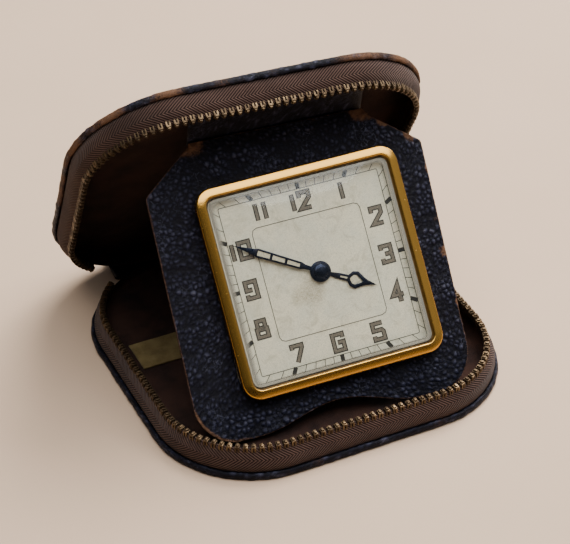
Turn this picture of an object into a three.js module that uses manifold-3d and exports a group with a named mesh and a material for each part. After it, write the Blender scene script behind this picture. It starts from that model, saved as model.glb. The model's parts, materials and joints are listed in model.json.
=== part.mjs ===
// Travel clock in a zip-up leather case, shown open and standing.
// Units are millimetres, +Z is up, the origin is on the table under the middle of the case's base.
// The base lies on the table. The lid leans back from it on a leather spine, a leather flap hangs
// from the lid's free edge, and the easel panel that carries the clock hangs from the flap.
import * as THREE from 'three';
import { mergeVertices } from 'three/addons/utils/BufferGeometryUtils.js';
import Module from 'manifold-3d';

const wasm = await Module();
wasm.setup();

// ---------- driving dimensions ----------

// One half of the case: a shallow tray with a leather outside and a zip round three sides.
const RIM_WIDTH = 93.3;          // across the zip teeth
const RIM_DEPTH = 88.8;
const RIM_RADIUS = 25;
const RIM_HEIGHT = 8.4;          // outer leather face to the root of the teeth
const COVER_OUTSET = 3.4;        // leather edge beyond the teeth
const COVER_THICK = 1.4;
const LINING_Z = [1.5, 2.0];     // lining sheet, between these heights in its half
const LINING_OUTSET = 1.0;
const ZIP_END_ANGLE = 41;        // degrees from straight back, where the zip ends on a rear corner
const RIM_STEPS = 6;             // facets to a corner
const SLIDER_ANGLE = 53;         // where the slider is parked on the base's right rear corner
const SLIDER_ROOM = 8;           // degrees of chain that the slider covers, either side of its middle
const PULL_PIVOT = [4.0, 0.3, -0.2]; // from the slider's middle: outwards, along the zip, up
const PULL_WIDTH = 3.4;
const PULL_LENGTH = 11;

// The lid, its hinge and the flap.
const LID_OPEN = 60;             // degrees open from shut
const LID_SKEW = 5;              // degrees the lid and panel are turned on the soft spine
const LID_X = -1.4;
const LID_EDGE = [47.4, 2.0];    // y and z of the lid rim's hinge edge
const HINGE = [53.2, 3.2];       // y and z of the line the spine bends about
const SPINE_HALF_WIDTH = 33;
const SPINE_THICK = 1.0;
const SPINE_RUN = 3.2;           // from the hinge line forwards to the base's leather
const FLAP_PIVOT = [83.0, 5.2];  // along the lid from its hinge edge, and into its depth
const FLAP_THICK = 0.8;
const FLAP_GAP = 0.8;            // flap and anchor each stop this far from their fold lines
const ANCHOR_LENGTH = 3.6;
const FLAP_WIDTH = 49;

// The easel panel, in its own plane: u to the right, v up, w out of the front.
const PANEL_SLOPE = 50.97;       // degrees from the table
const PANEL_AT = [4.3, -12.4, 34.0];
const PANEL_HALF_WIDTH = 38.8;
const PANEL_FOOT = -38.5;
const PANEL_SHOULDER = 28.5;     // where the top corners start to slope in
const PANEL_TOP = 38.5;
const TAB_HALF_WIDTH = 24.5;
const TAB_TOP = 40.2;
const PANEL_FOLD = [40.7, -1.25]; // v and w of the fold between panel and flap
const FOOT_RADIUS = 11;
const NOTCH_HALF_WIDTH = 23;
const NOTCH_HEIGHT = 4.5;
const PANEL_LEATHER = [-0.7, 0];
const PANEL_BOARD = [-1.9, -1.0];
const PANEL_LINING = [-2.5, -2.2];

// The clock, in the panel's axes with its own centre.
const CLOCK_OFFSET = 2.3;        // right of the panel's centre line
const CLOCK_TURN = 2.1;          // degrees
const BEZEL_SIZE = 57;
const BEZEL_RADIUS = 5;
const BEZEL_FACE = 3.0;
const DIAL_SIZE = 50.4;
const DIAL_W = [0.9, 1.3];
const HOUR_HAND_W = [1.5, 1.75];
const MINUTE_HAND_W = [2.05, 2.3];
const CRYSTAL_RIM_W = 3.2;       // top of the crystal at its edge
const CRYSTAL_RISE = 2.1;
const CRYSTAL_THICK = 0.6;
const CASE_SIZE = 54.6;
const CASE_WALL = 0.5;
const CASE_W = [-10.5, 0];
const BACK_W = [-11.1, -10.6];
const PLATE_SIZE = 44;
const FRONT_PLATE_W = [-2.6, -1.8];
const BACK_PLATE_W = [-8.9, -8.1];
const PILLAR_AT = 18.5;
const WHEEL_THICK = 0.6;
const MOTION_WORK_W = { pinion: [-1.5, -0.9], hour: [-0.6, 0] };
const KEY_W = [-13.4, -11.4];    // winding key and setting knob
const LEVEL = { a: -3.4, b: -4.6, c: -5.8, d: -7.0 };  // mid-height of each layer of wheels

// Tooth counts and modules.
const TRAIN = {
  great: { teeth: 48, module: 0.375 },
  centrePinion: { teeth: 8, module: 0.375 },
  centre: { teeth: 48, module: 0.34 },
  thirdPinion: { teeth: 6, module: 0.34 },
  third: { teeth: 45, module: 0.33 },
  fourthPinion: { teeth: 6, module: 0.33 },
  fourth: { teeth: 45, module: 0.29 },
  escapePinion: { teeth: 6, module: 0.29 },
  cannon: { teeth: 10, module: 0.35 },
  minute: { teeth: 30, module: 0.35 },
  minutePinion: { teeth: 8, module: 0.35 },
  hour: { teeth: 32, module: 0.35 },
};
const MESH_ANGLE = { great: -90, third: 35, fourth: 100, escape: 190, minute: -20 };
const ARBOR_RADIUS = 0.4;
const PIVOT_HOLE = 0.65;
const WINDING_ARBOR_RADIUS = 1.1;
const RATCHET = { teeth: 16, root: 2.5, tip: 3.1, w: [-7.95, -7.5] };
const CLICK_AT = [0, 5.4];       // from the middle of the ratchet
const BALANCE_AT = [-13, 2.6];
const BALANCE_RADIUS = 7;
const REGULATOR = { heading: 150, swing: 15, reach: 8.2, w: [-9.6, -9.2] };
const CASE_SCREWS = [[-22, -22], [22, 22]];

// Time shown, as clockwise angles of the hands from twelve.
const MINUTE_ANGLE = 300;
const HOUR_ANGLE = 117;

// ---------- materials ----------

const material = (color, roughness, metalness = 0) =>
  new THREE.MeshStandardMaterial({ color, roughness, metalness });

const MATERIALS = {
  navyLeather: material(0x1d2233, 0.62),
  backLining: material(0x3a2420, 0.9),
  lining: material(0x3b211c, 0.92),
  band: material(0x6d5c33, 0.6),
  tape: material(0x4b3427, 0.9),
  zipBrass: material(0x8a7350, 0.45, 0.9),
  board: material(0x8c7350, 0.9),
  gilt: material(0xc79a48, 0.28, 1),
  brass: material(0xb8944f, 0.35, 1),
  steel: material(0x9a9a9c, 0.35, 1),
  bluedSteel: material(0x1b2233, 0.3, 0.9),
  dial: material(0xcfc6a6, 0.55),
  glass: Object.assign(material(0xf4f6f4, 0.05), { transparent: true, opacity: 0.25 }),
  nickel: material(0xa9a498, 0.35, 1),
};

// ---------- geometry helpers ----------

const radians = THREE.MathUtils.degToRad;

function add(parent, name, geometry, finish) {
  const mesh = new THREE.Mesh(geometry, finish.clone());
  mesh.name = name;
  parent.add(mesh);
  return mesh;
}

function roundedRect(width, height, radius) {
  const x = width / 2 - radius;
  const y = height / 2 - radius;
  const shape = new THREE.Shape();
  shape.absarc(x, -y, radius, -Math.PI / 2, 0);
  shape.absarc(x, y, radius, 0, Math.PI / 2);
  shape.absarc(-x, y, radius, Math.PI / 2, Math.PI);
  shape.absarc(-x, -y, radius, Math.PI, Math.PI * 1.5);
  return shape;
}

function disc(radius, x = 0, y = 0) {
  const shape = new THREE.Shape();
  shape.absarc(x, y, radius, 0, Math.PI * 2);
  return shape;
}

// An outline through points, put in anticlockwise order.
function polygon(points) {
  const corners = points.map(([x, y]) => new THREE.Vector2(x, y));
  return new THREE.Shape(THREE.ShapeUtils.isClockWise(corners) ? corners.reverse() : corners);
}

// A flat piece between two heights, with its curves cut into the given number of segments.
function slab(shape, [low, high], curveSegments = 6, holes = []) {
  shape.holes.push(...holes);
  const geometry = new THREE.ExtrudeGeometry(shape, {
    depth: high - low,
    bevelEnabled: false,
    curveSegments,
  });
  return geometry.translate(0, 0, low);
}

// A round piece about Z from a profile of [radius, z] points.
function turned(profile, segments = 12) {
  const points = profile.map(([radius, z]) => new THREE.Vector2(radius, z));
  return new THREE.LatheGeometry(points, segments).rotateX(Math.PI / 2);
}

function rod(radius, [low, high], segments = 12) {
  return turned([[0, low], [radius, low], [radius, high], [0, high]], segments);
}

function sleeve(inner, outer, [low, high], segments = 16) {
  return turned([[inner, low], [outer, low], [outer, high], [inner, high], [inner, low]], segments);
}

function toSolid(geometry) {
  const plain = new THREE.BufferGeometry();
  plain.setAttribute('position', geometry.attributes.position.clone());
  if (geometry.index) plain.setIndex(geometry.index.clone());
  const merged = mergeVertices(plain, 1e-4);
  return new wasm.Manifold(new wasm.Mesh({
    numProp: 3,
    vertProperties: new Float32Array(merged.attributes.position.array),
    triVerts: new Uint32Array(merged.index.array),
  }));
}

function toGeometry(solid) {
  const mesh = solid.getMesh();
  const geometry = new THREE.BufferGeometry();
  geometry.setAttribute('position', new THREE.BufferAttribute(mesh.vertProperties, 3));
  geometry.setIndex(new THREE.BufferAttribute(mesh.triVerts, 1));
  return geometry;
}

function joined(...geometries) {
  return toGeometry(geometries.map(toSolid).reduce((whole, piece) => whole.add(piece)));
}

function cut(geometry, ...tools) {
  return toGeometry(tools.map(toSolid).reduce((rest, tool) => rest.subtract(tool), toSolid(geometry)));
}

// Points and outward normals round a rounded rectangle, from its left rear corner by the front to
// its right rear corner. The run stops short of straight back by the two angles, in degrees.
function rimPath(width, depth, radius, steps, leftEnd = 0, rightEnd = 0) {
  const x = width / 2 - radius;
  const y = depth / 2 - radius;
  const start = 90 + leftEnd;
  const finish = 90 - rightEnd;
  const corners = [[-x, y, start, 180], [-x, -y, 180, 270], [x, -y, 270, 360], [x, y, 0, finish]];
  return corners.flatMap(([cx, cy, from, to]) =>
    Array.from({ length: steps + 1 }, (_, i) => {
      const angle = radians(from + (to - from) * i / steps);
      const normal = [Math.cos(angle), Math.sin(angle)];
      return { at: [cx + radius * normal[0], cy + radius * normal[1]], normal };
    }));
}

// Carries a closed profile of [offset outwards, z] points along a rim path.
function sweptRim(path, profile, closed = false) {
  const count = profile.length;
  const positions = path.flatMap(({ at, normal }) => profile.flatMap(([offset, z]) =>
    [at[0] + normal[0] * offset, at[1] + normal[1] * offset, z]));
  const index = [];
  const spans = closed ? path.length : path.length - 1;
  for (let i = 0; i < spans; i += 1) {
    const here = i * count;
    const next = ((i + 1) % path.length) * count;
    for (let j = 0; j < count; j += 1) {
      const k = (j + 1) % count;
      index.push(here + j, next + j, next + k, here + j, next + k, here + k);
    }
  }
  if (!closed) {
    const last = (path.length - 1) * count;
    const outline = profile.map(([offset, z]) => new THREE.Vector2(offset, z));
    for (const [a, b, c] of THREE.ShapeUtils.triangulateShape(outline, [])) {
      index.push(a, b, c, last + a, last + c, last + b);
    }
  }
  const geometry = new THREE.BufferGeometry();
  geometry.setAttribute('position', new THREE.Float32BufferAttribute(positions, 3));
  geometry.setIndex(index);
  return geometry;
}

// A domed sheet over a rounded square: rings of points from the rim in to the middle, twice.
function domedSheet(size, radius, rimZ, rise, thick) {
  const rim = rimPath(size, size, radius, 4).map(({ at }) => at);
  const rings = 4;
  const positions = [];
  const ringStart = (surface, ring) => surface * (rings * rim.length + 1) + ring * rim.length;
  for (const drop of [0, thick]) {
    for (let ring = 0; ring < rings; ring += 1) {
      const scale = 1 - ring / rings;
      for (const [x, y] of rim) {
        positions.push(x * scale, y * scale, rimZ + rise * (1 - scale ** 2.6) - drop);
      }
    }
    positions.push(0, 0, rimZ + rise - drop);
  }
  const index = [];
  const facet = (a, b, c, flip) => index.push(...(flip ? [a, c, b] : [a, b, c]));
  for (const surface of [0, 1]) {
    const middle = ringStart(surface, rings);
    for (let i = 0; i < rim.length; i += 1) {
      const j = (i + 1) % rim.length;
      for (let ring = 0; ring < rings - 1; ring += 1) {
        const outer = ringStart(surface, ring);
        const inner = ringStart(surface, ring + 1);
        facet(outer + i, outer + j, inner + j, surface === 1);
        facet(outer + i, inner + j, inner + i, surface === 1);
      }
      const inmost = ringStart(surface, rings - 1);
      facet(inmost + i, inmost + j, middle, surface === 1);
    }
  }
  const under = ringStart(1, 0);
  for (let i = 0; i < rim.length; i += 1) {
    const j = (i + 1) % rim.length;
    index.push(i, under + i, under + j, i, under + j, j);
  }
  const geometry = new THREE.BufferGeometry();
  geometry.setAttribute('position', new THREE.Float32BufferAttribute(positions, 3));
  geometry.setIndex(index);
  return geometry;
}

// ---------- case halves ----------

// One half of the case about its own middle: outer leather face at z = 0, teeth upwards.
function caseHalf(parent, name, chainEnd = ZIP_END_ANGLE) {
  const tapePath = rimPath(RIM_WIDTH, RIM_DEPTH, RIM_RADIUS, RIM_STEPS, ZIP_END_ANGLE, ZIP_END_ANGLE);
  const chainPath = rimPath(RIM_WIDTH, RIM_DEPTH, RIM_RADIUS, RIM_STEPS, ZIP_END_ANGLE, chainEnd);
  const cover = roundedRect(
    RIM_WIDTH + 2 * COVER_OUTSET, RIM_DEPTH + 2 * COVER_OUTSET, RIM_RADIUS + COVER_OUTSET);
  const lining = roundedRect(
    RIM_WIDTH + 2 * LINING_OUTSET, RIM_DEPTH + 2 * LINING_OUTSET, RIM_RADIUS + LINING_OUTSET);
  const tape = [
    [2.3, COVER_THICK + 0.1], [2.3, 4.2], [1.5, 6.4], [0.5, RIM_HEIGHT - 0.4],
    [-0.2, RIM_HEIGHT - 0.7], [0.8, 5.9], [1.5, 3.9], [1.5, COVER_THICK + 0.1],
  ];
  const chain = Array.from({ length: 6 }, (_, i) => {
    const angle = radians(30 + 60 * i);
    return [-0.15 + 0.65 * Math.cos(angle), RIM_HEIGHT + 0.35 + 0.65 * Math.sin(angle)];
  });
  add(parent, `${name}_cover`, slab(cover, [0, COVER_THICK], 8), MATERIALS.navyLeather);
  add(parent, `${name}_lining`, slab(lining, LINING_Z, 8), MATERIALS.lining);
  add(parent, `${name}_zip_tape`, sweptRim(tapePath, tape), MATERIALS.tape);
  add(parent, `${name}_zip_chain`, sweptRim(chainPath, chain), MATERIALS.zipBrass);
}

// The slider on the base's right rear corner, x pointing out of the case, and its pull tab alongside.
function zipSlider(parent) {
  const end = rimPath(RIM_WIDTH, RIM_DEPTH, RIM_RADIUS, RIM_STEPS, 0, SLIDER_ANGLE).pop();
  const slider = new THREE.Group();
  slider.position.set(end.at[0], end.at[1], RIM_HEIGHT - 0.3);
  slider.rotation.z = Math.atan2(end.normal[1], end.normal[0]);
  parent.add(slider);
  const body = polygon([[-1.9, -2.6], [1.9, -2.6], [2.3, 1.6], [1.2, 2.9], [-1.2, 2.9], [-2.3, 1.6]]);
  const bail = roundedRect(0.8, 2, 0.2);
  add(slider, 'zip_slider',
    joined(slab(body, [0.1, 2.3]), slab(bail, [-1.6, 1.2], 2).translate(2.4, 0, 0)), MATERIALS.zipBrass);
  const pull = new THREE.Group();
  pull.position.set(...PULL_PIVOT);
  slider.add(pull);
  const tag = roundedRect(PULL_WIDTH, PULL_LENGTH, 1.2);
  const toHole = PULL_LENGTH / 2 - 1;
  tag.holes.push(disc(0.5, 0, toHole));
  add(pull, 'zip_pull',
    slab(tag, [-0.35, 0.35], 4).rotateY(Math.PI / 2).translate(0, -toHole, 0), MATERIALS.zipBrass);
}

function base(parent) {
  caseHalf(parent, 'base', SLIDER_ANGLE + SLIDER_ROOM);
  const band = roundedRect(84, 11, 0.6);
  add(parent, 'lining_band', slab(band, [LINING_Z[1] + 0.1, LINING_Z[1] + 0.6], 2).translate(0, 11.5, 0),
    MATERIALS.band);
  zipSlider(parent);
}

// The leather spine, cut to the stretch that stays put when the lid swings: a wall up from the table
// and a shelf back to the hinge line.
function spine(parent) {
  const [hingeY, hingeZ] = HINGE;
  const front = hingeY - SPINE_RUN;
  const wallBack = front + SPINE_THICK + 0.2;
  const shelfBack = hingeY + 0.7;
  const top = hingeZ + SPINE_THICK / 2;
  const shelf = hingeZ - SPINE_THICK / 2;
  const section = [
    [front, 0.1], [wallBack, 0.1], [wallBack, shelf], [shelfBack, shelf], [shelfBack, top], [front, top],
  ];
  const outline = polygon(section.map(([y, z]) => [y - LID_EDGE[0], z]));
  const strip = slab(outline, [-SPINE_HALF_WIDTH, SPINE_HALF_WIDTH], 2).rotateY(Math.PI / 2);
  add(parent, 'spine_hinge', strip.rotateX(Math.PI / 2), MATERIALS.navyLeather);
}

// ---------- easel panel ----------

function panelOutline(inset) {
  const side = PANEL_HALF_WIDTH - inset;
  const foot = PANEL_FOOT + inset;
  const corner = FOOT_RADIUS - inset;
  const slope = inset * 0.4;
  const tab = TAB_HALF_WIDTH - inset;
  const top = TAB_TOP - inset;
  const notch = NOTCH_HALF_WIDTH;
  const shape = new THREE.Shape();
  shape.moveTo(-side + corner, foot);
  shape.lineTo(-notch, foot);
  shape.bezierCurveTo(-notch / 2, foot, -notch / 2, foot + NOTCH_HEIGHT, 0, foot + NOTCH_HEIGHT);
  shape.bezierCurveTo(notch / 2, foot + NOTCH_HEIGHT, notch / 2, foot, notch, foot);
  shape.lineTo(side - corner, foot);
  shape.absarc(side - corner, foot + corner, corner, -Math.PI / 2, 0);
  shape.lineTo(side, PANEL_SHOULDER - slope);
  shape.lineTo(TAB_HALF_WIDTH + 0.5 - slope, PANEL_TOP - inset);
  shape.lineTo(tab, top);
  shape.lineTo(-tab, top);
  shape.lineTo(-TAB_HALF_WIDTH - 0.5 + slope, PANEL_TOP - inset);
  shape.lineTo(-side, PANEL_SHOULDER - slope);
  shape.absarc(-side + corner, foot + corner, corner, Math.PI, Math.PI * 1.5);
  return shape;
}

function panel(parent) {
  const clockHole = () => {
    const hole = roundedRect(CASE_SIZE + 0.8, CASE_SIZE + 0.8, BEZEL_RADIUS + 0.4);
    const turn = radians(CLOCK_TURN);
    return new THREE.Path(hole.getPoints(5).map(({ x, y }) => new THREE.Vector2(
      CLOCK_OFFSET + x * Math.cos(turn) - y * Math.sin(turn), x * Math.sin(turn) + y * Math.cos(turn))));
  };
  add(parent, 'easel_leather', slab(panelOutline(0), PANEL_LEATHER, 6, [clockHole()]), MATERIALS.navyLeather);
  add(parent, 'easel_board', slab(panelOutline(0.6), PANEL_BOARD, 6, [clockHole()]), MATERIALS.board);
  add(parent, 'easel_back_lining', slab(panelOutline(0.3), PANEL_LINING, 6, [clockHole()]),
    MATERIALS.backLining);
}

// ---------- clock case, dial and hands ----------

function clockCase(parent) {
  const bezelProfile = [
    [0, 0.3], [0, 1.7], [-0.45, 2.9], [-1.4, 3.6], [-2.3, 3.3], [-BEZEL_FACE, 2.2], [-BEZEL_FACE, 0.3],
  ];
  const bezelPath = rimPath(BEZEL_SIZE, BEZEL_SIZE, BEZEL_RADIUS, 5);
  add(parent, 'bezel', sweptRim(bezelPath, bezelProfile, true), MATERIALS.gilt);
  const crystal = domedSheet(
    DIAL_SIZE, BEZEL_RADIUS - BEZEL_FACE, CRYSTAL_RIM_W, CRYSTAL_RISE, CRYSTAL_THICK);
  add(parent, 'crystal', crystal, MATERIALS.glass);
  const inside = CASE_SIZE - 2 * CASE_WALL;
  add(parent, 'clock_case', slab(roundedRect(CASE_SIZE, CASE_SIZE, BEZEL_RADIUS), CASE_W, 5,
    [roundedRect(inside, inside, BEZEL_RADIUS - CASE_WALL)]), MATERIALS.brass);
  const dial = slab(roundedRect(DIAL_SIZE, DIAL_SIZE, BEZEL_RADIUS - BEZEL_FACE), DIAL_W, 5, [disc(2.0)]);
  add(parent, 'dial', dial, MATERIALS.dial);
}

// The pressed back, with a hole each for the winding and setting arbors and a slot for the regulator.
function backCover(parent, greatAt, balanceAt) {
  const slot = new THREE.Path();
  const from = radians(REGULATOR.heading - REGULATOR.swing - 9);
  const to = radians(REGULATOR.heading + REGULATOR.swing + 9);
  slot.absarc(...balanceAt, REGULATOR.reach + 0.9, from, to);
  slot.absarc(...balanceAt, REGULATOR.reach - 0.9, to, from, true);
  const holes = [disc(1.9, ...greatAt), disc(1.5), slot];
  for (const [x, y] of CASE_SCREWS) holes.push(disc(0.8, x, y));
  add(parent, 'back_cover', slab(roundedRect(CASE_SIZE, CASE_SIZE, BEZEL_RADIUS), BACK_W, 5, holes),
    MATERIALS.nickel);
  CASE_SCREWS.forEach(([x, y], i) => {
    const screw = turned([[0, -11.9], [1.3, -11.9], [1.5, -11.3], [0.6, -11.3], [0.6, -9.2], [0, -9.2]], 10);
    add(parent, `case_screw_${i + 1}`, screw.translate(x, y, 0), MATERIALS.steel);
  });
}

// A hand drawn pointing to twelve, then turned clockwise to its reading, in degrees.
function hand(parent, name, shape, holes, w, clockwise) {
  const blade = slab(shape, w, 4, holes).rotateZ(-radians(clockwise));
  add(parent, name, blade, MATERIALS.bluedSteel);
}

function minuteHand(parent) {
  const outline = polygon([[-0.55, 2.3], [-0.9, 17.2], [-0.75, 18.2], [0, 24.4], [0.75, 18.2], [0.9, 17.2],
    [0.55, 2.3], [2.2, 1.6], [2.7, 0], [2.2, -1.6], [0, -2.7], [-2.2, -1.6], [-2.7, 0], [-2.2, 1.6]]);
  hand(parent, 'minute_hand', outline, [disc(0.7)], MINUTE_HAND_W, MINUTE_ANGLE);
}

function hourHand(parent) {
  const outline = polygon([[-0.45, 2.6], [-0.45, 7.0], [-1.7, 8.6], [-1.75, 10.0], [-0.5, 12.6], [0, 15.8],
    [0.5, 12.6], [1.75, 10.0], [1.7, 8.6], [0.45, 7.0], [0.45, 2.6], [2.2, 1.7], [2.8, 0], [2.2, -1.7],
    [0, -2.8], [-2.2, -1.7], [-2.8, 0], [-2.2, 1.7]]);
  const window = polygon([[0, 7.6], [-1.1, 9.0], [-1.1, 9.9], [0, 11.8], [1.1, 9.9], [1.1, 9.0]]);
  hand(parent, 'hour_hand', outline, [disc(1.85), window], HOUR_HAND_W, HOUR_ANGLE);
}

// ---------- wheels ----------

// Teeth are narrow and stubby, so a pair runs with plenty of play. One tooth points at toothAngle.
function gearShape({ teeth, module }, toothAngle) {
  const pitch = Math.PI * 2 / teeth;
  const root = module * (teeth / 2 - 1.25);
  const tip = module * (teeth / 2 + 0.8);
  const points = [];
  for (let i = 0; i < teeth; i += 1) {
    const middle = radians(toothAngle) + i * pitch;
    for (const [radius, part] of [[root, -0.22], [tip, -0.08], [tip, 0.08], [root, 0.22]]) {
      points.push([radius * Math.cos(middle + part * pitch), radius * Math.sin(middle + part * pitch)]);
    }
  }
  return polygon(points);
}

const levelSpan = (level, thick = WHEEL_THICK) => [level - thick / 2, level + thick / 2];

// A wheel with a bore and, if it is big enough, five lightening holes.
function wheelGeometry(gear, toothAngle, span, bore) {
  const radius = gear.module * gear.teeth / 2;
  const holes = [disc(bore)];
  if (radius > 5) {
    for (let i = 0; i < 5; i += 1) {
      const angle = Math.PI * 2 * i / 5;
      holes.push(disc(radius * 0.22, radius * 0.58 * Math.cos(angle), radius * 0.58 * Math.sin(angle)));
    }
  }
  return slab(gearShape(gear, toothAngle), span, 4, holes);
}

// A pinion and the arbor it is cut on.
function arborGeometry(gear, toothAngle, pinionSpan, arborSpan) {
  return joined(rod(ARBOR_RADIUS, arborSpan, 10), slab(gearShape(gear, toothAngle), pinionSpan, 2));
}

function meshDistance(a, b) {
  return (TRAIN[a].teeth * TRAIN[a].module + TRAIN[b].teeth * TRAIN[b].module) / 2;
}

function along([x, y], distance, degrees) {
  return [x + distance * Math.cos(radians(degrees)), y + distance * Math.sin(radians(degrees))];
}

// The angle at which a wheel shows a gap to a neighbour whose tooth points at it along an angle.
const gapPhase = (gear, angle) => angle + 180 + 180 / gear.teeth;

const CENTRE = [0, 0];
const GREAT_AT = along(CENTRE, meshDistance('great', 'centrePinion'), MESH_ANGLE.great);
const THIRD_AT = along(CENTRE, meshDistance('centre', 'thirdPinion'), MESH_ANGLE.third);
const FOURTH_AT = along(THIRD_AT, meshDistance('third', 'fourthPinion'), MESH_ANGLE.fourth);
const ESCAPE_AT = along(FOURTH_AT, meshDistance('fourth', 'escapePinion'), MESH_ANGLE.escape);
const MINUTE_AT = along(CENTRE, meshDistance('cannon', 'minute'), MESH_ANGLE.minute);
const PALLET_AT = along(ESCAPE_AT, 7.2, 176);

function plates(parent) {
  const arbors = [THIRD_AT, FOURTH_AT, ESCAPE_AT, PALLET_AT, BALANCE_AT];
  const holes = () => [disc(1.0), disc(1.4, ...GREAT_AT), ...arbors.map((at) => disc(PIVOT_HOLE, ...at))];
  const outline = () => roundedRect(PLATE_SIZE, PLATE_SIZE, 5);
  add(parent, 'front_plate', slab(outline(), FRONT_PLATE_W, 4, holes()), MATERIALS.brass);
  add(parent, 'back_plate', slab(outline(), BACK_PLATE_W, 4, holes()), MATERIALS.brass);
  [[-1, -1], [1, -1], [1, 1], [-1, 1]].forEach(([x, y], i) => {
    const pillar = rod(1.3, [BACK_PLATE_W[1] + 0.1, FRONT_PLATE_W[0] - 0.1], 10);
    add(parent, `pillar_${i + 1}`, pillar.translate(x * PILLAR_AT, y * PILLAR_AT, 0), MATERIALS.brass);
  });
  const post = rod(0.45, [FRONT_PLATE_W[1] + 0.05, 0.3], 10).translate(...MINUTE_AT, 0);
  add(parent, 'minute_wheel_post', post, MATERIALS.steel);
}

// The coiled mainspring: a ribbon between two spirals, open at both ends.
function mainspring(parent) {
  const turns = 4;
  const steps = 14 * turns;
  const ribbon = 0.3;
  const spiral = (extra) => Array.from({ length: steps + 1 }, (_, i) => {
    const angle = Math.PI * 2 * turns * i / steps;
    const radius = 2.6 + 5.2 * i / steps + extra;
    return [radius * Math.cos(angle), radius * Math.sin(angle)];
  });
  const outline = polygon([...spiral(ribbon / 2), ...spiral(-ribbon / 2).reverse()]);
  add(parent, 'mainspring', slab(outline, [-6.3, -4.1]).translate(...GREAT_AT, 0), MATERIALS.steel);
}

// Everything on the centre arbor turns once an hour, from the setting knob to the minute hand.
function centreGroup(parent) {
  const pinionTooth = MESH_ANGLE.great;
  const arbor = arborGeometry(TRAIN.centrePinion, pinionTooth, levelSpan(LEVEL.d, 1), [KEY_W[0] + 0.2, 2.7]);
  add(parent, 'centre_arbor', arbor, MATERIALS.steel);
  add(parent, 'centre_wheel', wheelGeometry(TRAIN.centre, MESH_ANGLE.third, levelSpan(LEVEL.a), 0.6),
    MATERIALS.brass);
  const pipe = rod(0.95, [MOTION_WORK_W.pinion[0], MINUTE_HAND_W[0] - 0.1], 14);
  const cannon = cut(
    joined(slab(gearShape(TRAIN.cannon, MESH_ANGLE.minute), MOTION_WORK_W.pinion, 2), pipe),
    rod(0.6, [-2, 3], 12));
  add(parent, 'cannon_pinion', cannon, MATERIALS.brass);
  minuteHand(parent);
  const nutFoot = MINUTE_HAND_W[1] + 0.1;
  add(parent, 'hand_nut', sleeve(0.55, 1.3, [nutFoot, nutFoot + 0.4], 14), MATERIALS.bluedSteel);
  const knurled = slab(gearShape({ teeth: 20, module: 0.32 }, 0), [KEY_W[0], KEY_W[1] - 0.1]);
  const knob = cut(knurled, rod(0.6, [-14, -11], 10));
  add(parent, 'setting_knob', knob, MATERIALS.nickel);
}

function hourGroup(parent) {
  const phase = gapPhase(TRAIN.hour, MESH_ANGLE.minute + 180);
  const pipe = rod(1.65, [MOTION_WORK_W.hour[0], HOUR_HAND_W[1] + 0.1], 14);
  const wheel = joined(slab(gearShape(TRAIN.hour, phase), MOTION_WORK_W.hour, 2), pipe);
  add(parent, 'hour_wheel', cut(wheel, rod(1.2, [-1, 3], 14)), MATERIALS.brass);
}

function minuteGroup(parent) {
  const wheelPhase = gapPhase(TRAIN.minute, MESH_ANGLE.minute);
  const wheel = joined(
    slab(gearShape(TRAIN.minute, wheelPhase), MOTION_WORK_W.pinion, 2),
    slab(gearShape(TRAIN.minutePinion, MESH_ANGLE.minute + 180), [-1.0, 0.1], 2));
  add(parent, 'minute_wheel', cut(wheel, rod(0.6, [-2, 1], 12)).translate(...MINUTE_AT, 0), MATERIALS.brass);
}

// A wheel and its pinion on one arbor, in mesh with the wheel before and the pinion after.
function trainGroup(parent, name, at, wheel, pinion, levels, angles) {
  const arborSpan = [BACK_PLATE_W[0] + 0.1, FRONT_PLATE_W[1] - 0.1];
  const pinionPhase = gapPhase(pinion, angles.from);
  const arbor = arborGeometry(pinion, pinionPhase, levelSpan(levels.pinion, 1), arborSpan);
  add(parent, `${name}_arbor`, arbor.translate(...at, 0), MATERIALS.steel);
  if (wheel) {
    const geometry = wheelGeometry(wheel, angles.to, levelSpan(levels.wheel), 0.55);
    add(parent, `${name}_wheel`, geometry.translate(...at, 0), MATERIALS.brass);
  }
}

function escapeWheel(parent) {
  const teeth = 15;
  const points = [];
  for (let i = 0; i < teeth; i += 1) {
    for (const [radius, part] of [[3.5, 0], [4.5, 0.1], [4.5, 0.2], [3.5, 0.55]]) {
      const angle = Math.PI * 2 * (i + part) / teeth;
      points.push([radius * Math.cos(angle), radius * Math.sin(angle)]);
    }
  }
  const wheel = slab(polygon(points), levelSpan(LEVEL.d), 4, [disc(0.55)]);
  add(parent, 'escape_wheel', wheel.translate(...ESCAPE_AT, 0), MATERIALS.brass);
}

// The ratchet is fast to the winding arbor; the click on the great wheel is drawn just clear of it.
function windingGroup(parent) {
  const arbor = rod(WINDING_ARBOR_RADIUS, [KEY_W[0] + 0.2, -2.0], 14);
  add(parent, 'winding_arbor', arbor.translate(...GREAT_AT, 0), MATERIALS.steel);
  const points = [];
  for (let i = 0; i < RATCHET.teeth; i += 1) {
    for (const [radius, part] of [[RATCHET.root, 0], [RATCHET.tip, 0.1]]) {
      const angle = Math.PI * 2 * (i + part) / RATCHET.teeth;
      points.push([radius * Math.cos(angle), radius * Math.sin(angle)]);
    }
  }
  const ratchet = slab(polygon(points), RATCHET.w, 4, [disc(WINDING_ARBOR_RADIUS + 0.15)]);
  add(parent, 'ratchet_wheel', ratchet.translate(...GREAT_AT, 0), MATERIALS.steel);
  const wings = roundedRect(14, 5, 2.4);
  const grip = joined(slab(wings, [KEY_W[0], KEY_W[0] + 0.9], 5), rod(2.3, KEY_W, 14));
  const key = cut(grip, rod(WINDING_ARBOR_RADIUS + 0.15, [-14, -11], 14));
  add(parent, 'winding_key', key.translate(...GREAT_AT, 0), MATERIALS.nickel);
}

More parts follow.
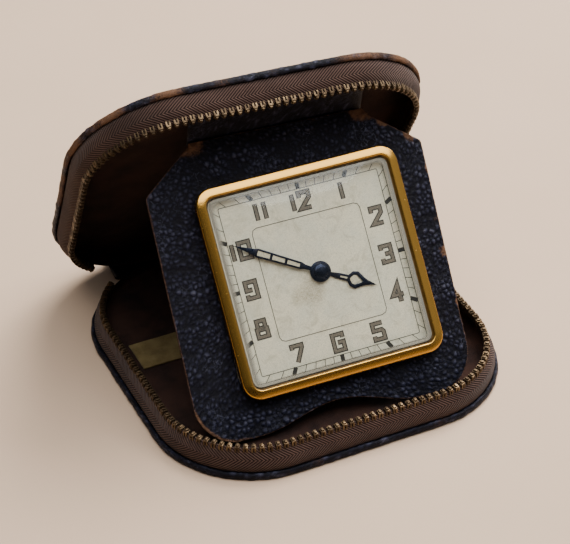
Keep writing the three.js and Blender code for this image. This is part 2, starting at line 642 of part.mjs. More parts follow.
function greatGroup(parent) {
  const phase = gapPhase(TRAIN.great, MESH_ANGLE.great);
  const wheel = wheelGeometry(TRAIN.great, phase, levelSpan(LEVEL.d), 1.3);
  add(parent, 'great_wheel', wheel.translate(...GREAT_AT, 0), MATERIALS.brass);
}

function click(parent) {
  const arm = polygon([[-3.6, -0.3], [-3.3, -0.9], [-0.4, -0.8], [0.8, -0.5], [0.8, 0.7], [-0.6, 0.8]]);
  const lever = slab(arm, RATCHET.w).translate(GREAT_AT[0] + CLICK_AT[0], GREAT_AT[1] + CLICK_AT[1], 0);
  add(parent, 'click', lever, MATERIALS.steel);
}

// The pallet lever stands between the escape wheel and the balance, its pins drawn clear of the teeth.
function palletGroup(parent) {
  const toBalance = Math.atan2(BALANCE_AT[1] - PALLET_AT[1], BALANCE_AT[0] - PALLET_AT[0]);
  const tail = slab(polygon([[0, -0.5], [8.6, -0.35], [8.6, 0.35], [0, 0.5]]), levelSpan(LEVEL.d));
  const arms = slab(polygon([[-0.6, -3.4], [0.4, -3.4], [0.7, 0], [0.4, 3.4], [-0.6, 3.4], [-0.4, 0]]),
    levelSpan(LEVEL.d));
  const lever = joined(rod(ARBOR_RADIUS, [BACK_PLATE_W[0] + 0.1, FRONT_PLATE_W[1] - 0.1], 10),
    rod(0.9, levelSpan(LEVEL.d), 12), tail.rotateZ(toBalance), arms.rotateZ(radians(-4)));
  add(parent, 'pallet_lever', lever.translate(...PALLET_AT, 0), MATERIALS.steel);
}

function balanceGroup(parent) {
  const span = levelSpan(LEVEL.c, 0.9);
  const rim = sleeve(BALANCE_RADIUS - 0.9, BALANCE_RADIUS, span, 20);
  const arm = slab(roundedRect(2 * BALANCE_RADIUS - 1.2, 1.1, 0.3), levelSpan(LEVEL.c, 0.5), 2);
  const staff = rod(ARBOR_RADIUS, [BACK_PLATE_W[0] + 0.1, FRONT_PLATE_W[1] - 0.1], 10);
  const hub = rod(1.1, levelSpan(LEVEL.c, 1.1), 12);
  add(parent, 'balance_wheel', joined(rim, arm, staff, hub).translate(...BALANCE_AT, 0), MATERIALS.brass);
  const turns = 3;
  const steps = 12 * turns;
  const spiral = (extra) => Array.from({ length: steps + 1 }, (_, i) => {
    const angle = Math.PI * 2 * turns * i / steps;
    const radius = 0.9 + 2.6 * i / steps + extra;
    return [radius * Math.cos(angle), radius * Math.sin(angle)];
  });
  const ribbon = polygon([...spiral(0.1), ...spiral(-0.1).reverse()]);
  const spring = slab(ribbon, levelSpan(LEVEL.a, 0.5)).translate(...BALANCE_AT, 0);
  add(parent, 'hairspring', spring, MATERIALS.steel);
}

function regulator(parent) {
  const armEnd = REGULATOR.reach + 0.5;
  const arm = slab(polygon([[1.0, -0.8], [armEnd, -0.4], [armEnd, 0.4], [1.0, 0.8]]), REGULATOR.w);
  const ring = slab(disc(1.6), REGULATOR.w, 6);
  const pin = rod(0.45, [BACK_W[0] - 0.7, REGULATOR.w[1]], 8).translate(REGULATOR.reach, 0, 0);
  const lever = cut(joined(arm, ring, pin), rod(0.8, [-10, -9], 10));
  add(parent, 'regulator_lever', lever.rotateZ(radians(REGULATOR.heading)).translate(...BALANCE_AT, 0),
    MATERIALS.steel);
}

// ---------- assembly ----------

function clock(parent) {
  const group = new THREE.Group();
  group.position.set(CLOCK_OFFSET, 0, 0);
  group.rotation.z = radians(CLOCK_TURN);
  parent.add(group);
  clockCase(group);
  backCover(group, GREAT_AT, BALANCE_AT);
  plates(group);
  mainspring(group);
  centreGroup(group);
  hourGroup(group);
  hourHand(group);
  minuteGroup(group);
  trainGroup(group, 'third', THIRD_AT, TRAIN.third, TRAIN.thirdPinion,
    { pinion: LEVEL.a, wheel: LEVEL.b }, { from: MESH_ANGLE.third, to: MESH_ANGLE.fourth });
  trainGroup(group, 'fourth', FOURTH_AT, TRAIN.fourth, TRAIN.fourthPinion,
    { pinion: LEVEL.b, wheel: LEVEL.c }, { from: MESH_ANGLE.fourth, to: MESH_ANGLE.escape });
  trainGroup(group, 'escape', ESCAPE_AT, null, TRAIN.escapePinion,
    { pinion: LEVEL.c }, { from: MESH_ANGLE.escape });
  escapeWheel(group);
  greatGroup(group);
  click(group);
  windingGroup(group);
  palletGroup(group);
  balanceGroup(group);
  regulator(group);
}

// The lid half is the base half turned over, then leaned back from shut by LID_OPEN.
function lid(parent) {
  const hingeLine = new THREE.Group();
  hingeLine.position.set(LID_X, 0, LID_EDGE[1]);
  hingeLine.rotation.set(-radians(LID_OPEN), Math.PI, 0);
  parent.add(hingeLine);
  const half = new THREE.Group();
  half.position.set(0, -RIM_DEPTH / 2, -RIM_HEIGHT);
  hingeLine.add(half);
  caseHalf(half, 'lid');
  const [run, depth] = FLAP_PIVOT;
  const anchor = slab(roundedRect(FLAP_WIDTH, ANCHOR_LENGTH, 0.4),
    [-depth - FLAP_THICK / 2, -depth + FLAP_THICK / 2], 2);
  anchor.translate(LID_X - PANEL_AT[0], -run - FLAP_GAP - ANCHOR_LENGTH / 2, 0);
  add(hingeLine, 'flap_anchor', anchor, MATERIALS.navyLeather);
}

// A point of the lid as [y, z] in the leaning part's frame, from its run along the lid and its depth.
function lidPoint(run, depth) {
  const angle = radians(180 - LID_OPEN);
  const direction = [Math.cos(angle), Math.sin(angle)];
  return [run * direction[0] + depth * direction[1], LID_EDGE[1] + run * direction[1] - depth * direction[0]];
}

// A point of the panel as [y, z] in the leaning part's frame, from its height v and its depth w.
function panelPoint(v, w) {
  const slope = radians(PANEL_SLOPE);
  return [
    PANEL_AT[1] - LID_EDGE[0] + v * Math.cos(slope) - w * Math.sin(slope),
    PANEL_AT[2] + v * Math.sin(slope) + w * Math.cos(slope),
  ];
}

function flap(parent) {
  const [topY, topZ] = lidPoint(...FLAP_PIVOT);
  const [lowY, lowZ] = panelPoint(...PANEL_FOLD);
  const length = Math.hypot(topY - lowY, topZ - lowZ);
  const strip = new THREE.Group();
  strip.position.set(PANEL_AT[0], (topY + lowY) / 2, (topZ + lowZ) / 2);
  strip.rotation.x = Math.atan2(topZ - lowZ, topY - lowY);
  parent.add(strip);
  const outline = roundedRect(FLAP_WIDTH, length - 2 * FLAP_GAP, 0.3);
  add(strip, 'easel_flap', slab(outline, [-FLAP_THICK / 2, FLAP_THICK / 2], 2), MATERIALS.navyLeather);
}

function easel(parent) {
  const leaning = new THREE.Group();
  leaning.position.set(PANEL_AT[0], PANEL_AT[1] - LID_EDGE[0], PANEL_AT[2]);
  leaning.rotation.x = radians(PANEL_SLOPE);
  parent.add(leaning);
  panel(leaning);
  clock(leaning);
}

const group = new THREE.Group();
base(group);
const skewed = new THREE.Group();
skewed.position.set(0, LID_EDGE[0], 0);
skewed.rotation.z = -radians(LID_SKEW);
group.add(skewed);
spine(skewed);
lid(skewed);
flap(skewed);
easel(skewed);

export default group;
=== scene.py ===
"""Looks of a travel clock in a zip-up leather case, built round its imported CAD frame.

Lengths are millimetres until a piece is placed; placing a piece turns them into metres.
"""
import bisect
import itertools
import json
import math
import random

import bmesh
import bpy
from mathutils import Matrix, Vector, noise


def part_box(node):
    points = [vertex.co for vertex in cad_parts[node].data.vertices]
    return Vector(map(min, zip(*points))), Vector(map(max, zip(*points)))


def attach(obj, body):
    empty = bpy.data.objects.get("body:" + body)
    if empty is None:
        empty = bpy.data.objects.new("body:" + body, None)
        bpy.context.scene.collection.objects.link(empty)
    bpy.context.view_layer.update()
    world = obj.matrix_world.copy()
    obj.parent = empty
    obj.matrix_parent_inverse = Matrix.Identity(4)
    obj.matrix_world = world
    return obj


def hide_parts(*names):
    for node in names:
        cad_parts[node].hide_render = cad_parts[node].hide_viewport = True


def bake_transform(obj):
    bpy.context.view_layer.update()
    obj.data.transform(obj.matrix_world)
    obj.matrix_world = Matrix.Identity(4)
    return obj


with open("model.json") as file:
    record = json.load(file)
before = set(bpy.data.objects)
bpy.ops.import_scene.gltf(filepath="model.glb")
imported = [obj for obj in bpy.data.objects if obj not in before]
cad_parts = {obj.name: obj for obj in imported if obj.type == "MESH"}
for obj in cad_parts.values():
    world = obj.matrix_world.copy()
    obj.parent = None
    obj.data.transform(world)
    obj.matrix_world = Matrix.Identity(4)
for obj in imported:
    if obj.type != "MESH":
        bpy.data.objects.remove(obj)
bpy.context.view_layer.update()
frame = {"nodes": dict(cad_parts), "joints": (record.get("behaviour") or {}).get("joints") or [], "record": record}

MM = 0.001

# ---------- driving dimensions ----------

RIM_WIDTH, RIM_DEPTH, RIM_RADIUS, RIM_HEIGHT = 93.3, 88.8, 25.0, 8.4
COVER_OUTSET, COVER_THICK = 3.4, 1.4
LINING_UNDERSIDE, LINING_FLOOR = 1.62, 1.98
ZIP_END_ANGLE = 41.0          # degrees from straight back
SLIDER_CHAIN_END = 61.0       # the base's chain stops under the slider
ZIP_STEP, TOOTH_PITCH = 0.7, 2.1
COVER_PEBBLE, PANEL_PEBBLE, STRIP_PEBBLE = 1.9, 1.3, 1.1   # widths of the leather's pebbles

LID_OPEN = 60.0
LID_SHIFT = -1.4              # sideways
HINGE_BACK, HINGE_ABOVE = 5.8, 1.2   # from the lid rim's hinge edge to the hinge line
SPINE_HALF_WIDTH = 33.0
FLAP_WIDTH, FLAP_THICK = 49.0, 0.8

PANEL_HALF_WIDTH, PANEL_FOOT, PANEL_SHOULDER = 38.8, -38.5, 28.5
PANEL_TOP, TAB_HALF_WIDTH, TAB_TOP = 38.5, 24.5, 40.2
FOOT_RADIUS, NOTCH_HALF_WIDTH, NOTCH_HEIGHT = 11.0, 23.0, 4.5
PANEL_LEATHER, PANEL_LINING = (-0.7, 0.0), (-2.5, -2.2)

CLOCK_OFFSET, CLOCK_TURN, CENTRE_DEPTH = 2.3, 2.1, 3.0
BEZEL_SIZE, BEZEL_RADIUS, BEZEL_FACE = 57.0, 5.0, 3.0
DIAL_SIZE, DIAL_FACE = 50.4, 1.3
CLOCK_HOLE, CLOCK_HOLE_RADIUS = 55.4, 5.4
CRYSTAL_RIM, CRYSTAL_RISE, CRYSTAL_THICK = 3.2, 2.1, 0.6
HOUR_HAND, MINUTE_HAND = (1.5, 1.75), (2.05, 2.3)
MINUTE_ANGLE, HOUR_ANGLE = 300.0, 117.0

# ---------- places, all from the frame's joints ----------

joints = {joint["name"]: joint for joint in frame["joints"]}


def joint_place(name):
    return Vector(joints[name]["pos_m"]) / MM


def joint_axis(name):
    return Vector(joints[name]["axis"]).normalized()


def placed(origin, x, y, z):
    """The matrix that takes millimetres along three axes at an origin to metres in the frame."""
    turn = Matrix((x, y, z)).transposed().to_4x4()
    turn.translation = origin
    return Matrix.Scale(MM, 4) @ turn


UP = Vector((0, 0, 1))
RIGHT = -joint_axis("lid_hinge")
BACK = UP.cross(RIGHT)
FRONT = -joint_axis("minute_hand_turn")
RISE = FRONT.cross(RIGHT)

open_angle = math.radians(LID_OPEN)
LID_RUN = UP * math.sin(open_angle) - BACK * math.cos(open_angle)
LID_DEPTH = BACK * math.sin(open_angle) + UP * math.cos(open_angle)
HINGE = joint_place("lid_hinge")
LID_EDGE = HINGE - BACK * HINGE_BACK - UP * HINGE_ABOVE + RIGHT * LID_SHIFT
CLOCK_CENTRE = joint_place("minute_hand_turn") + FRONT * CENTRE_DEPTH
PANEL_CENTRE = CLOCK_CENTRE - RIGHT * CLOCK_OFFSET

turn = math.radians(CLOCK_TURN)
CLOCK_X = RIGHT * math.cos(turn) + RISE * math.sin(turn)
CLOCK_Y = RISE * math.cos(turn) - RIGHT * math.sin(turn)

BASE = placed(Vector(), Vector((1, 0, 0)), Vector((0, 1, 0)), UP)
LID = placed(LID_EDGE + LID_RUN * RIM_DEPTH / 2 + LID_DEPTH * RIM_HEIGHT, -RIGHT, -LID_RUN, -LID_DEPTH)
HALVES = {"base": BASE, "lid": LID}
PANEL = placed(PANEL_CENTRE, RIGHT, RISE, FRONT)
CLOCK = placed(CLOCK_CENTRE, CLOCK_X, CLOCK_Y, FRONT)
SPINE = placed(HINGE - BACK * HINGE_BACK - UP * HINGE.z, RIGHT, BACK, UP)

# ---------- mesh helpers ----------


def smoothstep(low, high, value):
    t = min(max((value - low) / (high - low), 0.0), 1.0)
    return t * t * (3 - 2 * t)


def add_object(name, data):
    made = bpy.data.objects.new(name, data)
    bpy.context.scene.collection.objects.link(made)
    return made


def new_piece(name, points, faces, place, material, attributes=None, sharp=None):
    """A mesh from points in a piece's own millimetres, with those kept as the attribute "mm"."""
    mesh = bpy.data.meshes.new(name)
    mesh.from_pydata(points, [], faces)
    shape = bmesh.new()
    shape.from_mesh(mesh)
    bmesh.ops.recalc_face_normals(shape, faces=shape.faces)
    shape.to_mesh(mesh)
    shape.free()
    kept = mesh.attributes.new("mm", "FLOAT_VECTOR", "POINT")
    kept.data.foreach_set("vector", [value for point in points for value in point])
    for key, values in (attributes or {}).items():
        mesh.attributes.new(key, "FLOAT", "POINT").data.foreach_set("value", values)
    mesh.transform(place)
    mesh.shade_smooth()
    if sharp:
        mesh.set_sharp_from_angle(angle=math.radians(sharp))
    mesh.materials.append(material)
    return add_object(name, mesh)


def settle(piece, body, slot, *replaced):
    """Hides the CAD nodes a piece stands for and puts it on the body it rides on; its finish's slot is not used.
    """
    if replaced:
        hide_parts(*replaced)
    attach(piece, body)


def skin(ring_count, ring_size, joined=False):
    """Faces from each ring of points to the next; the end rings are filled, or joined to each other."""
    faces = []
    for ring in range(ring_count - 1):
        for i in range(ring_size):
            j = (i + 1) % ring_size
            low, high = ring * ring_size, (ring + 1) * ring_size
            faces.append((low + i, low + j, high + j, high + i))
    last = (ring_count - 1) * ring_size
    if joined:
        faces += [(i, (i + 1) % ring_size, last + (i + 1) % ring_size, last + i) for i in range(ring_size)]
    else:
        faces += [tuple(range(ring_size)), tuple(last + i for i in range(ring_size))]
    return faces


def straight(start, end, normal, step):
    """The points between two others, each with the same normal."""
    steps = math.ceil((end - start).length / step)
    return [(start.lerp(end, k / steps), normal) for k in range(1, steps)]


def rounded_outline(corners, step):
    """Points round a polygon with corners (x, y, radius), each with its outward normal."""
    least_radius, count = 0.01, len(corners)
    points = []
    for i in range(count):
        before, here, after = (Vector(corners[(i + k) % count][:2]) for k in (-1, 0, 1))
        radius = max(corners[i][2], least_radius)
        back_way, on_way = (before - here).normalized(), (after - here).normalized()
        half = back_way.angle(on_way) / 2
        centre = here + (back_way + on_way).normalized() * radius / math.sin(half)
        first = here + back_way * radius / math.tan(half) - centre
        sweep = math.pi - 2 * half
        pieces = max(2, math.ceil(sweep * radius / step))
        for k in range(pieces + 1):
            spoke = first.copy()
            spoke.rotate(Matrix.Rotation(sweep * k / pieces, 2))
            points.append((centre + spoke, spoke.normalized()))
        end = points[-1][0]
        next_radius = max(corners[(i + 1) % count][2], least_radius)
        beyond = Vector(corners[(i + 2) % count][:2])
        next_half = (here - after).angle(beyond - after) / 2
        start = after - on_way * next_radius / math.tan(next_half)
        points += straight(end, start, Vector((on_way.y, -on_way.x)), step)
    return points


def rounded_rect(width, depth, radius, step):
    x, y = width / 2, depth / 2
    return rounded_outline([(-x, -y, radius), (x, -y, radius), (x, y, radius), (-x, y, radius)], step)


def runs_along(points):
    """Each point's distance from the first one, along the path."""
    return [0.0, *itertools.accumulate((b - a).length for a, b in zip(points, points[1:]))]


def zip_path(left_end, right_end):
    """The rim by way of the front as (point, normal, run); each end in degrees from straight back."""
    x, y = RIM_WIDTH / 2 - RIM_RADIUS, RIM_DEPTH / 2 - RIM_RADIUS
    corners = [(-x, y, 90 + left_end, 180), (-x, -y, 180, 270), (x, -y, 270, 360), (x, y, 0, 90 - right_end)]
    points = []
    for cx, cy, start, stop in corners:
        centre = Vector((cx, cy))
        pieces = math.ceil(math.radians(stop - start) * RIM_RADIUS / ZIP_STEP)
        arc = []
        for k in range(pieces + 1):
            angle = math.radians(start + (stop - start) * k / pieces)
            normal = Vector((math.cos(angle), math.sin(angle)))
            arc.append((centre + normal * RIM_RADIUS, normal))
        if points:
            last, normal = points[-1]
            points += straight(last, arc[0][0], normal, ZIP_STEP)
        points += arc
    runs = runs_along([point for point, _ in points])
    return [(point, normal, run) for (point, normal), run in zip(points, runs)]


def along(path, run):
    """The point and normal at a distance along a path."""
    runs = [entry[2] for entry in path]
    i = min(max(bisect.bisect(runs, run), 1), len(path) - 1)
    (a, na, ra), (b, nb, rb) = path[i - 1], path[i]
    t = (run - ra) / max(rb - ra, 1e-9)
    return a.lerp(b, t), na.lerp(nb, t).normalized()


def curve_through(points, per_span=4):
    """A smooth run of 2-D points through the given ones."""
    result = []
    for i in range(len(points) - 1):
        p0, p1, p2, p3 = (Vector(points[min(max(i + k, 0), len(points) - 1)]) for k in (-1, 0, 1, 2))
        for k in range(per_span):
            t = k / per_span
            result.append(0.5 * (2 * p1 + (p2 - p0) * t + (2 * p0 - 5 * p1 + 4 * p2 - p3) * t ** 2
                                 + (3 * p1 - p0 - 3 * p2 + p3) * t ** 3))
    return result + [Vector(points[-1])]


def flat_shape(name, outlines, low, high, material, bevel, clockwise):
    """A flat piece on the clock from closed outlines; an outline inside another is a hole."""
    curve = bpy.data.curves.new(name, "CURVE")
    curve.dimensions = "2D"
    curve.fill_mode = "BOTH"
    curve.extrude = (high - low) / 2 - bevel
    curve.bevel_depth = bevel
    curve.bevel_resolution = 1
    for outline in outlines:
        spline = curve.splines.new("POLY")
        spline.points.add(len(outline) - 1)
        for point, (x, y) in zip(spline.points, outline):
            point.co = (x, y, 0, 1)
        spline.use_cyclic_u = True
    source = add_object(name, curve)
    bpy.context.view_layer.update()
    mesh = bpy.data.meshes.new_from_object(source.evaluated_get(bpy.context.evaluated_depsgraph_get()))
    bpy.data.objects.remove(source)
    mesh.transform(Matrix.Translation((0, 0, (low + high) / 2)))
    mesh.transform(Matrix.Rotation(-math.radians(clockwise), 4, "Z"))
    shape = bmesh.new()
    shape.from_mesh(mesh)
    bmesh.ops.remove_doubles(shape, verts=shape.verts, dist=1e-4)
    shape.to_mesh(mesh)
    shape.free()
    points = [tuple(vertex.co) for vertex in mesh.vertices]
    faces = [tuple(face.vertices) for face in mesh.polygons]
    return new_piece(name, points, faces, CLOCK, material, sharp=30)


# ---------- material helpers ----------


class Look:
    """The nodes of a new material, or of the world, made one at a time."""

    def __init__(self, name, world=None, shader="Principled BSDF", **inputs):
        self.owner = world or bpy.data.materials.new(name)
        self.owner.use_nodes = True
        self.tree = self.owner.node_tree
        self.shader = self.tree.nodes[shader]
        self.set(**inputs)

    def link(self, value, socket):
        if isinstance(value, bpy.types.NodeSocket):
            self.tree.links.new(value, socket)
        else:
            socket.default_value = value

    def set(self, **inputs):
        for key, value in inputs.items():
            self.link(value, self.shader.inputs[key.replace("_", " ")])

    def node(self, kind, out=0, props=None, **inputs):
        made = self.tree.nodes.new("ShaderNode" + kind)
        for key, value in (props or {}).items():
            setattr(made, key, value)
        for key, value in inputs.items():
            self.link(value, made.inputs[int(key[1:]) if key[1:].isdigit() else key])
        return made.outputs[out]

    def math(self, operation, a, b=0.0, c=0.0):
        return self.node("Math", props={"operation": operation}, i0=a, i1=b, i2=c)

    def times(self, a, b):
        return self.math("MULTIPLY", a, b)

    def plus(self, a, b):
        return self.math("ADD", a, b)

    def vector(self, operation, a, b, out=0):
        return self.node("VectorMath", props={"operation": operation}, out=out, i0=a, i1=b)

    def attribute(self, name, out="Fac"):
        made = self.tree.nodes.new("ShaderNodeAttribute")
        made.attribute_name = name
        return made.outputs[out]

    def place(self, cad=False):
        """Coordinates in millimetres, of a piece's own mesh or of a CAD node."""
        if not cad:
            return self.attribute("mm", "Vector")
        coordinates = self.tree.nodes.new("ShaderNodeTexCoord").outputs["Object"]
        return self.node("VectorMath", props={"operation": "SCALE"}, i0=coordinates, i3=1 / MM)

    def noise(self, where, scale, detail=3.0, roughness=0.55, distortion=0.0):
        return self.node("TexNoise", Vector=where, Scale=scale, Detail=detail, Roughness=roughness,
                         Distortion=distortion)

    def ramp(self, value, low, high, to_low=0.0, to_high=1.0):
        return self.node("MapRange", props={"interpolation_type": "SMOOTHSTEP"}, i0=value, i1=low, i2=high,
                         i3=to_low, i4=to_high)

    def mix(self, amount, a, b):
        made = self.tree.nodes.new("ShaderNodeMix")
        made.data_type = "RGBA"
        self.link(amount, made.inputs[0])
        self.link(a if isinstance(a, bpy.types.NodeSocket) else (*a, 1), made.inputs[6])
        self.link(b if isinstance(b, bpy.types.NodeSocket) else (*b, 1), made.inputs[7])
        return made.outputs[2]

    def bump(self, height, distance):
        """A bump in millimetres, laid over any bump already there."""
        inputs = {"Height": height, "Distance": distance * MM}
        if self.shader.inputs["Normal"].is_linked:
            inputs["Normal"] = self.shader.inputs["Normal"].links[0].from_socket
        self.set(Normal=self.node("Bump", **inputs))

    def threads(self, weave, depth, tone, dark, light, fuzz, fuzz_depth):
        """The colour and relief of woven threads, with fuzz on both."""
        tone = self.plus(tone, self.times(self.math("SUBTRACT", fuzz, 0.5), 0.5))
        self.set(Base_Color=self.mix(tone, dark, light))
        self.bump(weave, depth)
        self.bump(fuzz, fuzz_depth)


def leather(name, crease_painted_shade, face, shine, worn):
    """Pebbled hide: painted shade in the creases, painted glints on the pebbles' tops, pale cracks on the pebbles,
    bare hide where rubbed.
    """
    look = Look(name)
    where = look.place()
    patches = look.noise(where, 0.10, 4)
    grain = look.noise(where, 2.2, 5, 0.7)
    fine = look.noise(where, 6.5, 4, 0.65)
    pebble = look.attribute("pebble")
    wear = look.attribute("wear")
    # Painted shade: the creases between the pebbles take a near-black colour, the pebbles' tops the face colour.
    colour = look.mix(look.ramp(pebble, 0.05, 0.85), crease_painted_shade, face)
    # Painted highlight: the pebbles' tops, in patches, are lightened towards the glint colour.
    top = look.ramp(pebble, 0.3, 1.1)
    glint = look.times(top, look.ramp(grain, 0.46, 0.66))
    glint = look.times(glint, look.ramp(patches, 0.32, 0.62, 0.3, 1.0))
    bent = look.vector("ADD", where, look.noise(where, 0.6, 3))
    cracks = look.node("TexVoronoi", props={"feature": "DISTANCE_TO_EDGE"}, Vector=bent, Scale=0.62)
    crack = look.times(look.ramp(cracks, 0.0, 0.07, 1.0, 0.0), look.ramp(grain, 0.4, 0.62))
    crack = look.times(crack, look.ramp(patches, 0.36, 0.5, 0.9, 0.0))
    # The painted highlight is mixed in here; the pale cracks below take a brighter copy of its colour.
    colour = look.mix(look.times(glint, 0.5), colour, shine)
    colour = look.mix(look.times(crack, 0.5), colour, tuple(1.9 * value for value in shine))
    ragged = look.plus(look.times(fine, 1.7), look.times(grain, 2.0))
    rubbed = look.ramp(look.times(wear, look.math("SUBTRACT", ragged, 0.95)), 0.3, 0.85)
    hide = look.mix(look.noise(where, 1.1, 4), worn, tuple(0.3 * value for value in worn))
    colour = look.mix(rubbed, colour, hide)
    rough = look.plus(look.ramp(grain, 0.3, 0.7, 0.58, 0.36), look.times(rubbed, 0.3))
    look.set(Base_Color=colour, Roughness=rough,
             Specular_IOR_Level=look.math("MULTIPLY_ADD", top, 0.42, 0.10))
    look.bump(grain, 0.25)
    look.bump(fine, 0.05)
    return look.owner


def cloth(name, dark, light, pitch=0.32, sheen=0.15):
    """Plain woven cloth: over and under threads in two directions."""
    look = Look(name, Roughness=0.92, Specular_IOR_Level=0.15, Sheen_Weight=sheen)
    where = look.place()
    across = look.node("SeparateXYZ", Vector=where).node.outputs
    waves = [look.math("SINE", look.times(across[axis], 2 * math.pi / pitch)) for axis in (0, 1)]
    weave = look.times(waves[0], waves[1])
    tone = look.plus(look.times(weave, 0.18), look.ramp(look.noise(where, 0.11, 5, 0.6), 0.3, 0.72))
    look.threads(weave, 0.05, tone, dark, light, look.noise(where, 7.0, 3), 0.05)
    return look.owner


def herringbone(name, dark, light):
    """Zip tape: two bands of slanting threads that meet on a line along the tape."""
    middle, pitch, slope = 4.4, 0.95, 1.25
    look = Look(name, Roughness=0.85, Specular_IOR_Level=0.1, Sheen_Weight=0.08)
    where = look.place()
    run, rise = look.attribute("run"), look.attribute("rise")
    slant = look.math("ABSOLUTE", look.math("SUBTRACT", rise, middle))
    phase = look.math("DIVIDE", look.plus(run, look.times(slant, slope)), pitch)
    thread = look.times(look.math("PINGPONG", phase, 0.5), 2.0)
    blotch = look.ramp(look.noise(where, 0.13, 5, 0.6), 0.25, 0.7, 0.6, 1.1)
    tone = look.times(look.ramp(thread, 0.2, 0.75), blotch)
    look.threads(thread, 0.2, tone, dark, light, look.noise(where, 5.0, 3), 0.06)
    return look.owner


def metal(name, colour, tarnish_and_shade, roughness, pits=0.0, brushed=0.0, film=(0.4, 0.72), painted_shade_part=False,
          cad=False):
    """Metal under a patchy film, with dark pits, a brushed surface or a part painted in shade if asked for."""
    look = Look(name, Metallic=1.0)
    where = look.place(cad)
    cloud = look.ramp(look.noise(where, 0.35, 6, 0.65, 0.6), *film)
    fine = look.noise(where, 4.0, 4, 0.6)
    film_and_painted_shade = look.times(cloud, look.ramp(fine, 0.3, 0.7, 0.5, 1.0))
    if painted_shade_part:
        # Painted shade: a piece's shade attribute darkens its part with the tarnish colour and roughens it.
        film_and_painted_shade = look.math("MAXIMUM", film_and_painted_shade, look.attribute("film_and_painted_shade"))
    tint = look.mix(film_and_painted_shade, colour, tarnish_and_shade)
    rough = look.plus(look.times(film_and_painted_shade, 0.25), roughness)
    if pits:
        spots = look.node("TexVoronoi", Vector=where, Scale=0.5, Randomness=1.0)
        pit = look.ramp(spots, 0.06, 0.15, 1.0, 0.0)
        pit = look.times(pit, look.ramp(look.noise(where, 0.3), 0.5, 0.62))
        tint = look.mix(look.times(pit, pits), tint, (0.03, 0.025, 0.02))
        rough = look.plus(rough, look.times(pit, 0.4))
        look.bump(pit, -0.06)
    if brushed:
        stretched = look.vector("MULTIPLY", where, (0.4, 9.0, 9.0))
        look.bump(look.noise(stretched, 1.0, 3), 0.012 * brushed)
    look.set(Base_Color=tint, Roughness=rough)
    look.bump(fine, 0.003)
    return look.owner


def dial_face(name, stain_at=(-4.0, -4.5, 0.0)):
    """Silvered dial gone cream, with green speckle, smudges and a brown stain."""
    look = Look(name, Specular_IOR_Level=0.35, Metallic=0.12)
    where = look.place()
    speckle = look.noise(where, 3.4, 8, 0.85)
    cloudy = look.noise(where, 0.10, 6, 0.65, 0.5)
    silver, cream, green = (0.77, 0.75, 0.63), (0.86, 0.80, 0.64), (0.50, 0.49, 0.37)
    colour = look.mix(look.ramp(cloudy, 0.35, 0.65), cream, silver)
    colour = look.mix(look.ramp(speckle, 0.44, 0.66, 0.0, 0.9), colour, green)
    smudge = look.ramp(look.noise(where, 0.22, 6, 0.7, 1.2), 0.48, 0.7, 0.0, 0.5)
    colour = look.mix(smudge, colour, (0.44, 0.40, 0.28))
    from_stain = look.vector("DISTANCE", where, stain_at, out=1)
    ragged = look.plus(from_stain, look.times(look.noise(where, 0.35, 5), 8.0))
    stain = look.times(look.ramp(ragged, 5.0, 10.0, 1.0, 0.0), look.ramp(speckle, 0.3, 0.6))
    colour = look.mix(look.times(stain, 0.6), colour, (0.26, 0.20, 0.12))
    look.set(Base_Color=colour, Roughness=look.ramp(speckle, 0.3, 0.7, 0.38, 0.6))
    look.bump(speckle, 0.015)
    return look.owner


def ink(name, colour, other):
    """Printed or brushed-on colour, mottled with a second one."""
    look = Look(name, Roughness=0.5, Specular_IOR_Level=0.3)
    where = look.place()
    mottle = look.ramp(look.noise(where, 3.0, 6, 0.7), 0.4, 0.7)
    look.set(Base_Color=look.mix(mottle, colour, other))
    look.bump(look.noise(where, 9.0), 0.01)
    return look.owner


def card(name, colour, other):
    """Grey-brown board with its fibres showing."""
    look = Look(name, Roughness=0.9, Specular_IOR_Level=0.2)
    fibre = look.noise(look.place(cad=True), 3.0, 6, 0.7, 0.4)
    look.set(Base_Color=look.mix(fibre, colour, other))
    look.bump(fibre, 0.08)
    return look.owner


def glass(name):
    """Clear plastic glass: its surface shines, and its thick rim is painted grey, standing in for how the steep
    edge bends the light.
    """
    look = Look(name)
    clear = look.node("BsdfTransparent", Color=(0.98, 0.985, 0.97, 1))
    # A diffuse grey painted on the rim, standing in for the light its steep edge bends away.
    cloudy = look.node("BsdfDiffuse", Color=(0.30, 0.29, 0.24, 1))
    body = look.node("MixShader", i0=look.attribute("rim"), i1=clear, i2=cloudy)
    where = look.place()
    haze = look.ramp(look.noise(where, 0.25, 5, 0.6, 0.4), 0.35, 0.75, 0.05, 0.14)
    shine = look.node("BsdfGlossy", Color=(0.32, 0.35, 0.38, 1), Roughness=haze)
    grazing = look.math("POWER", look.node("LayerWeight", out=1, Blend=0.5), 5.0)
    mirror = look.math("MULTIPLY_ADD", grazing, 0.9, 0.04)
    mixed = look.node("MixShader", i0=mirror, i1=body, i2=shine)
    look.link(mixed, look.tree.nodes["Material Output"].inputs["Surface"])
    return look.owner


# The first colour is painted shade for the creases, the third the painted highlight on the pebbles' tops.
NAVY = leather("navy_leather", (0.003, 0.003, 0.006), (0.021, 0.023, 0.048), (0.062, 0.066, 0.100),
               (0.19, 0.098, 0.055))
LINING_CLOTH = cloth("brown_lining", (0.009, 0.0035, 0.003), (0.036, 0.015, 0.010), sheen=0.03)
BAND_CLOTH = cloth("olive_band", (0.08, 0.055, 0.018), (0.20, 0.15, 0.06), pitch=0.5, sheen=0.1)
TAPE_CLOTH = herringbone("zip_tape", (0.0085, 0.0045, 0.004), (0.090, 0.051, 0.040))
ZIP_BRASS = metal("zip_brass", (0.165, 0.115, 0.066), (0.03, 0.02, 0.014), 0.40, film=(0.3, 0.6))
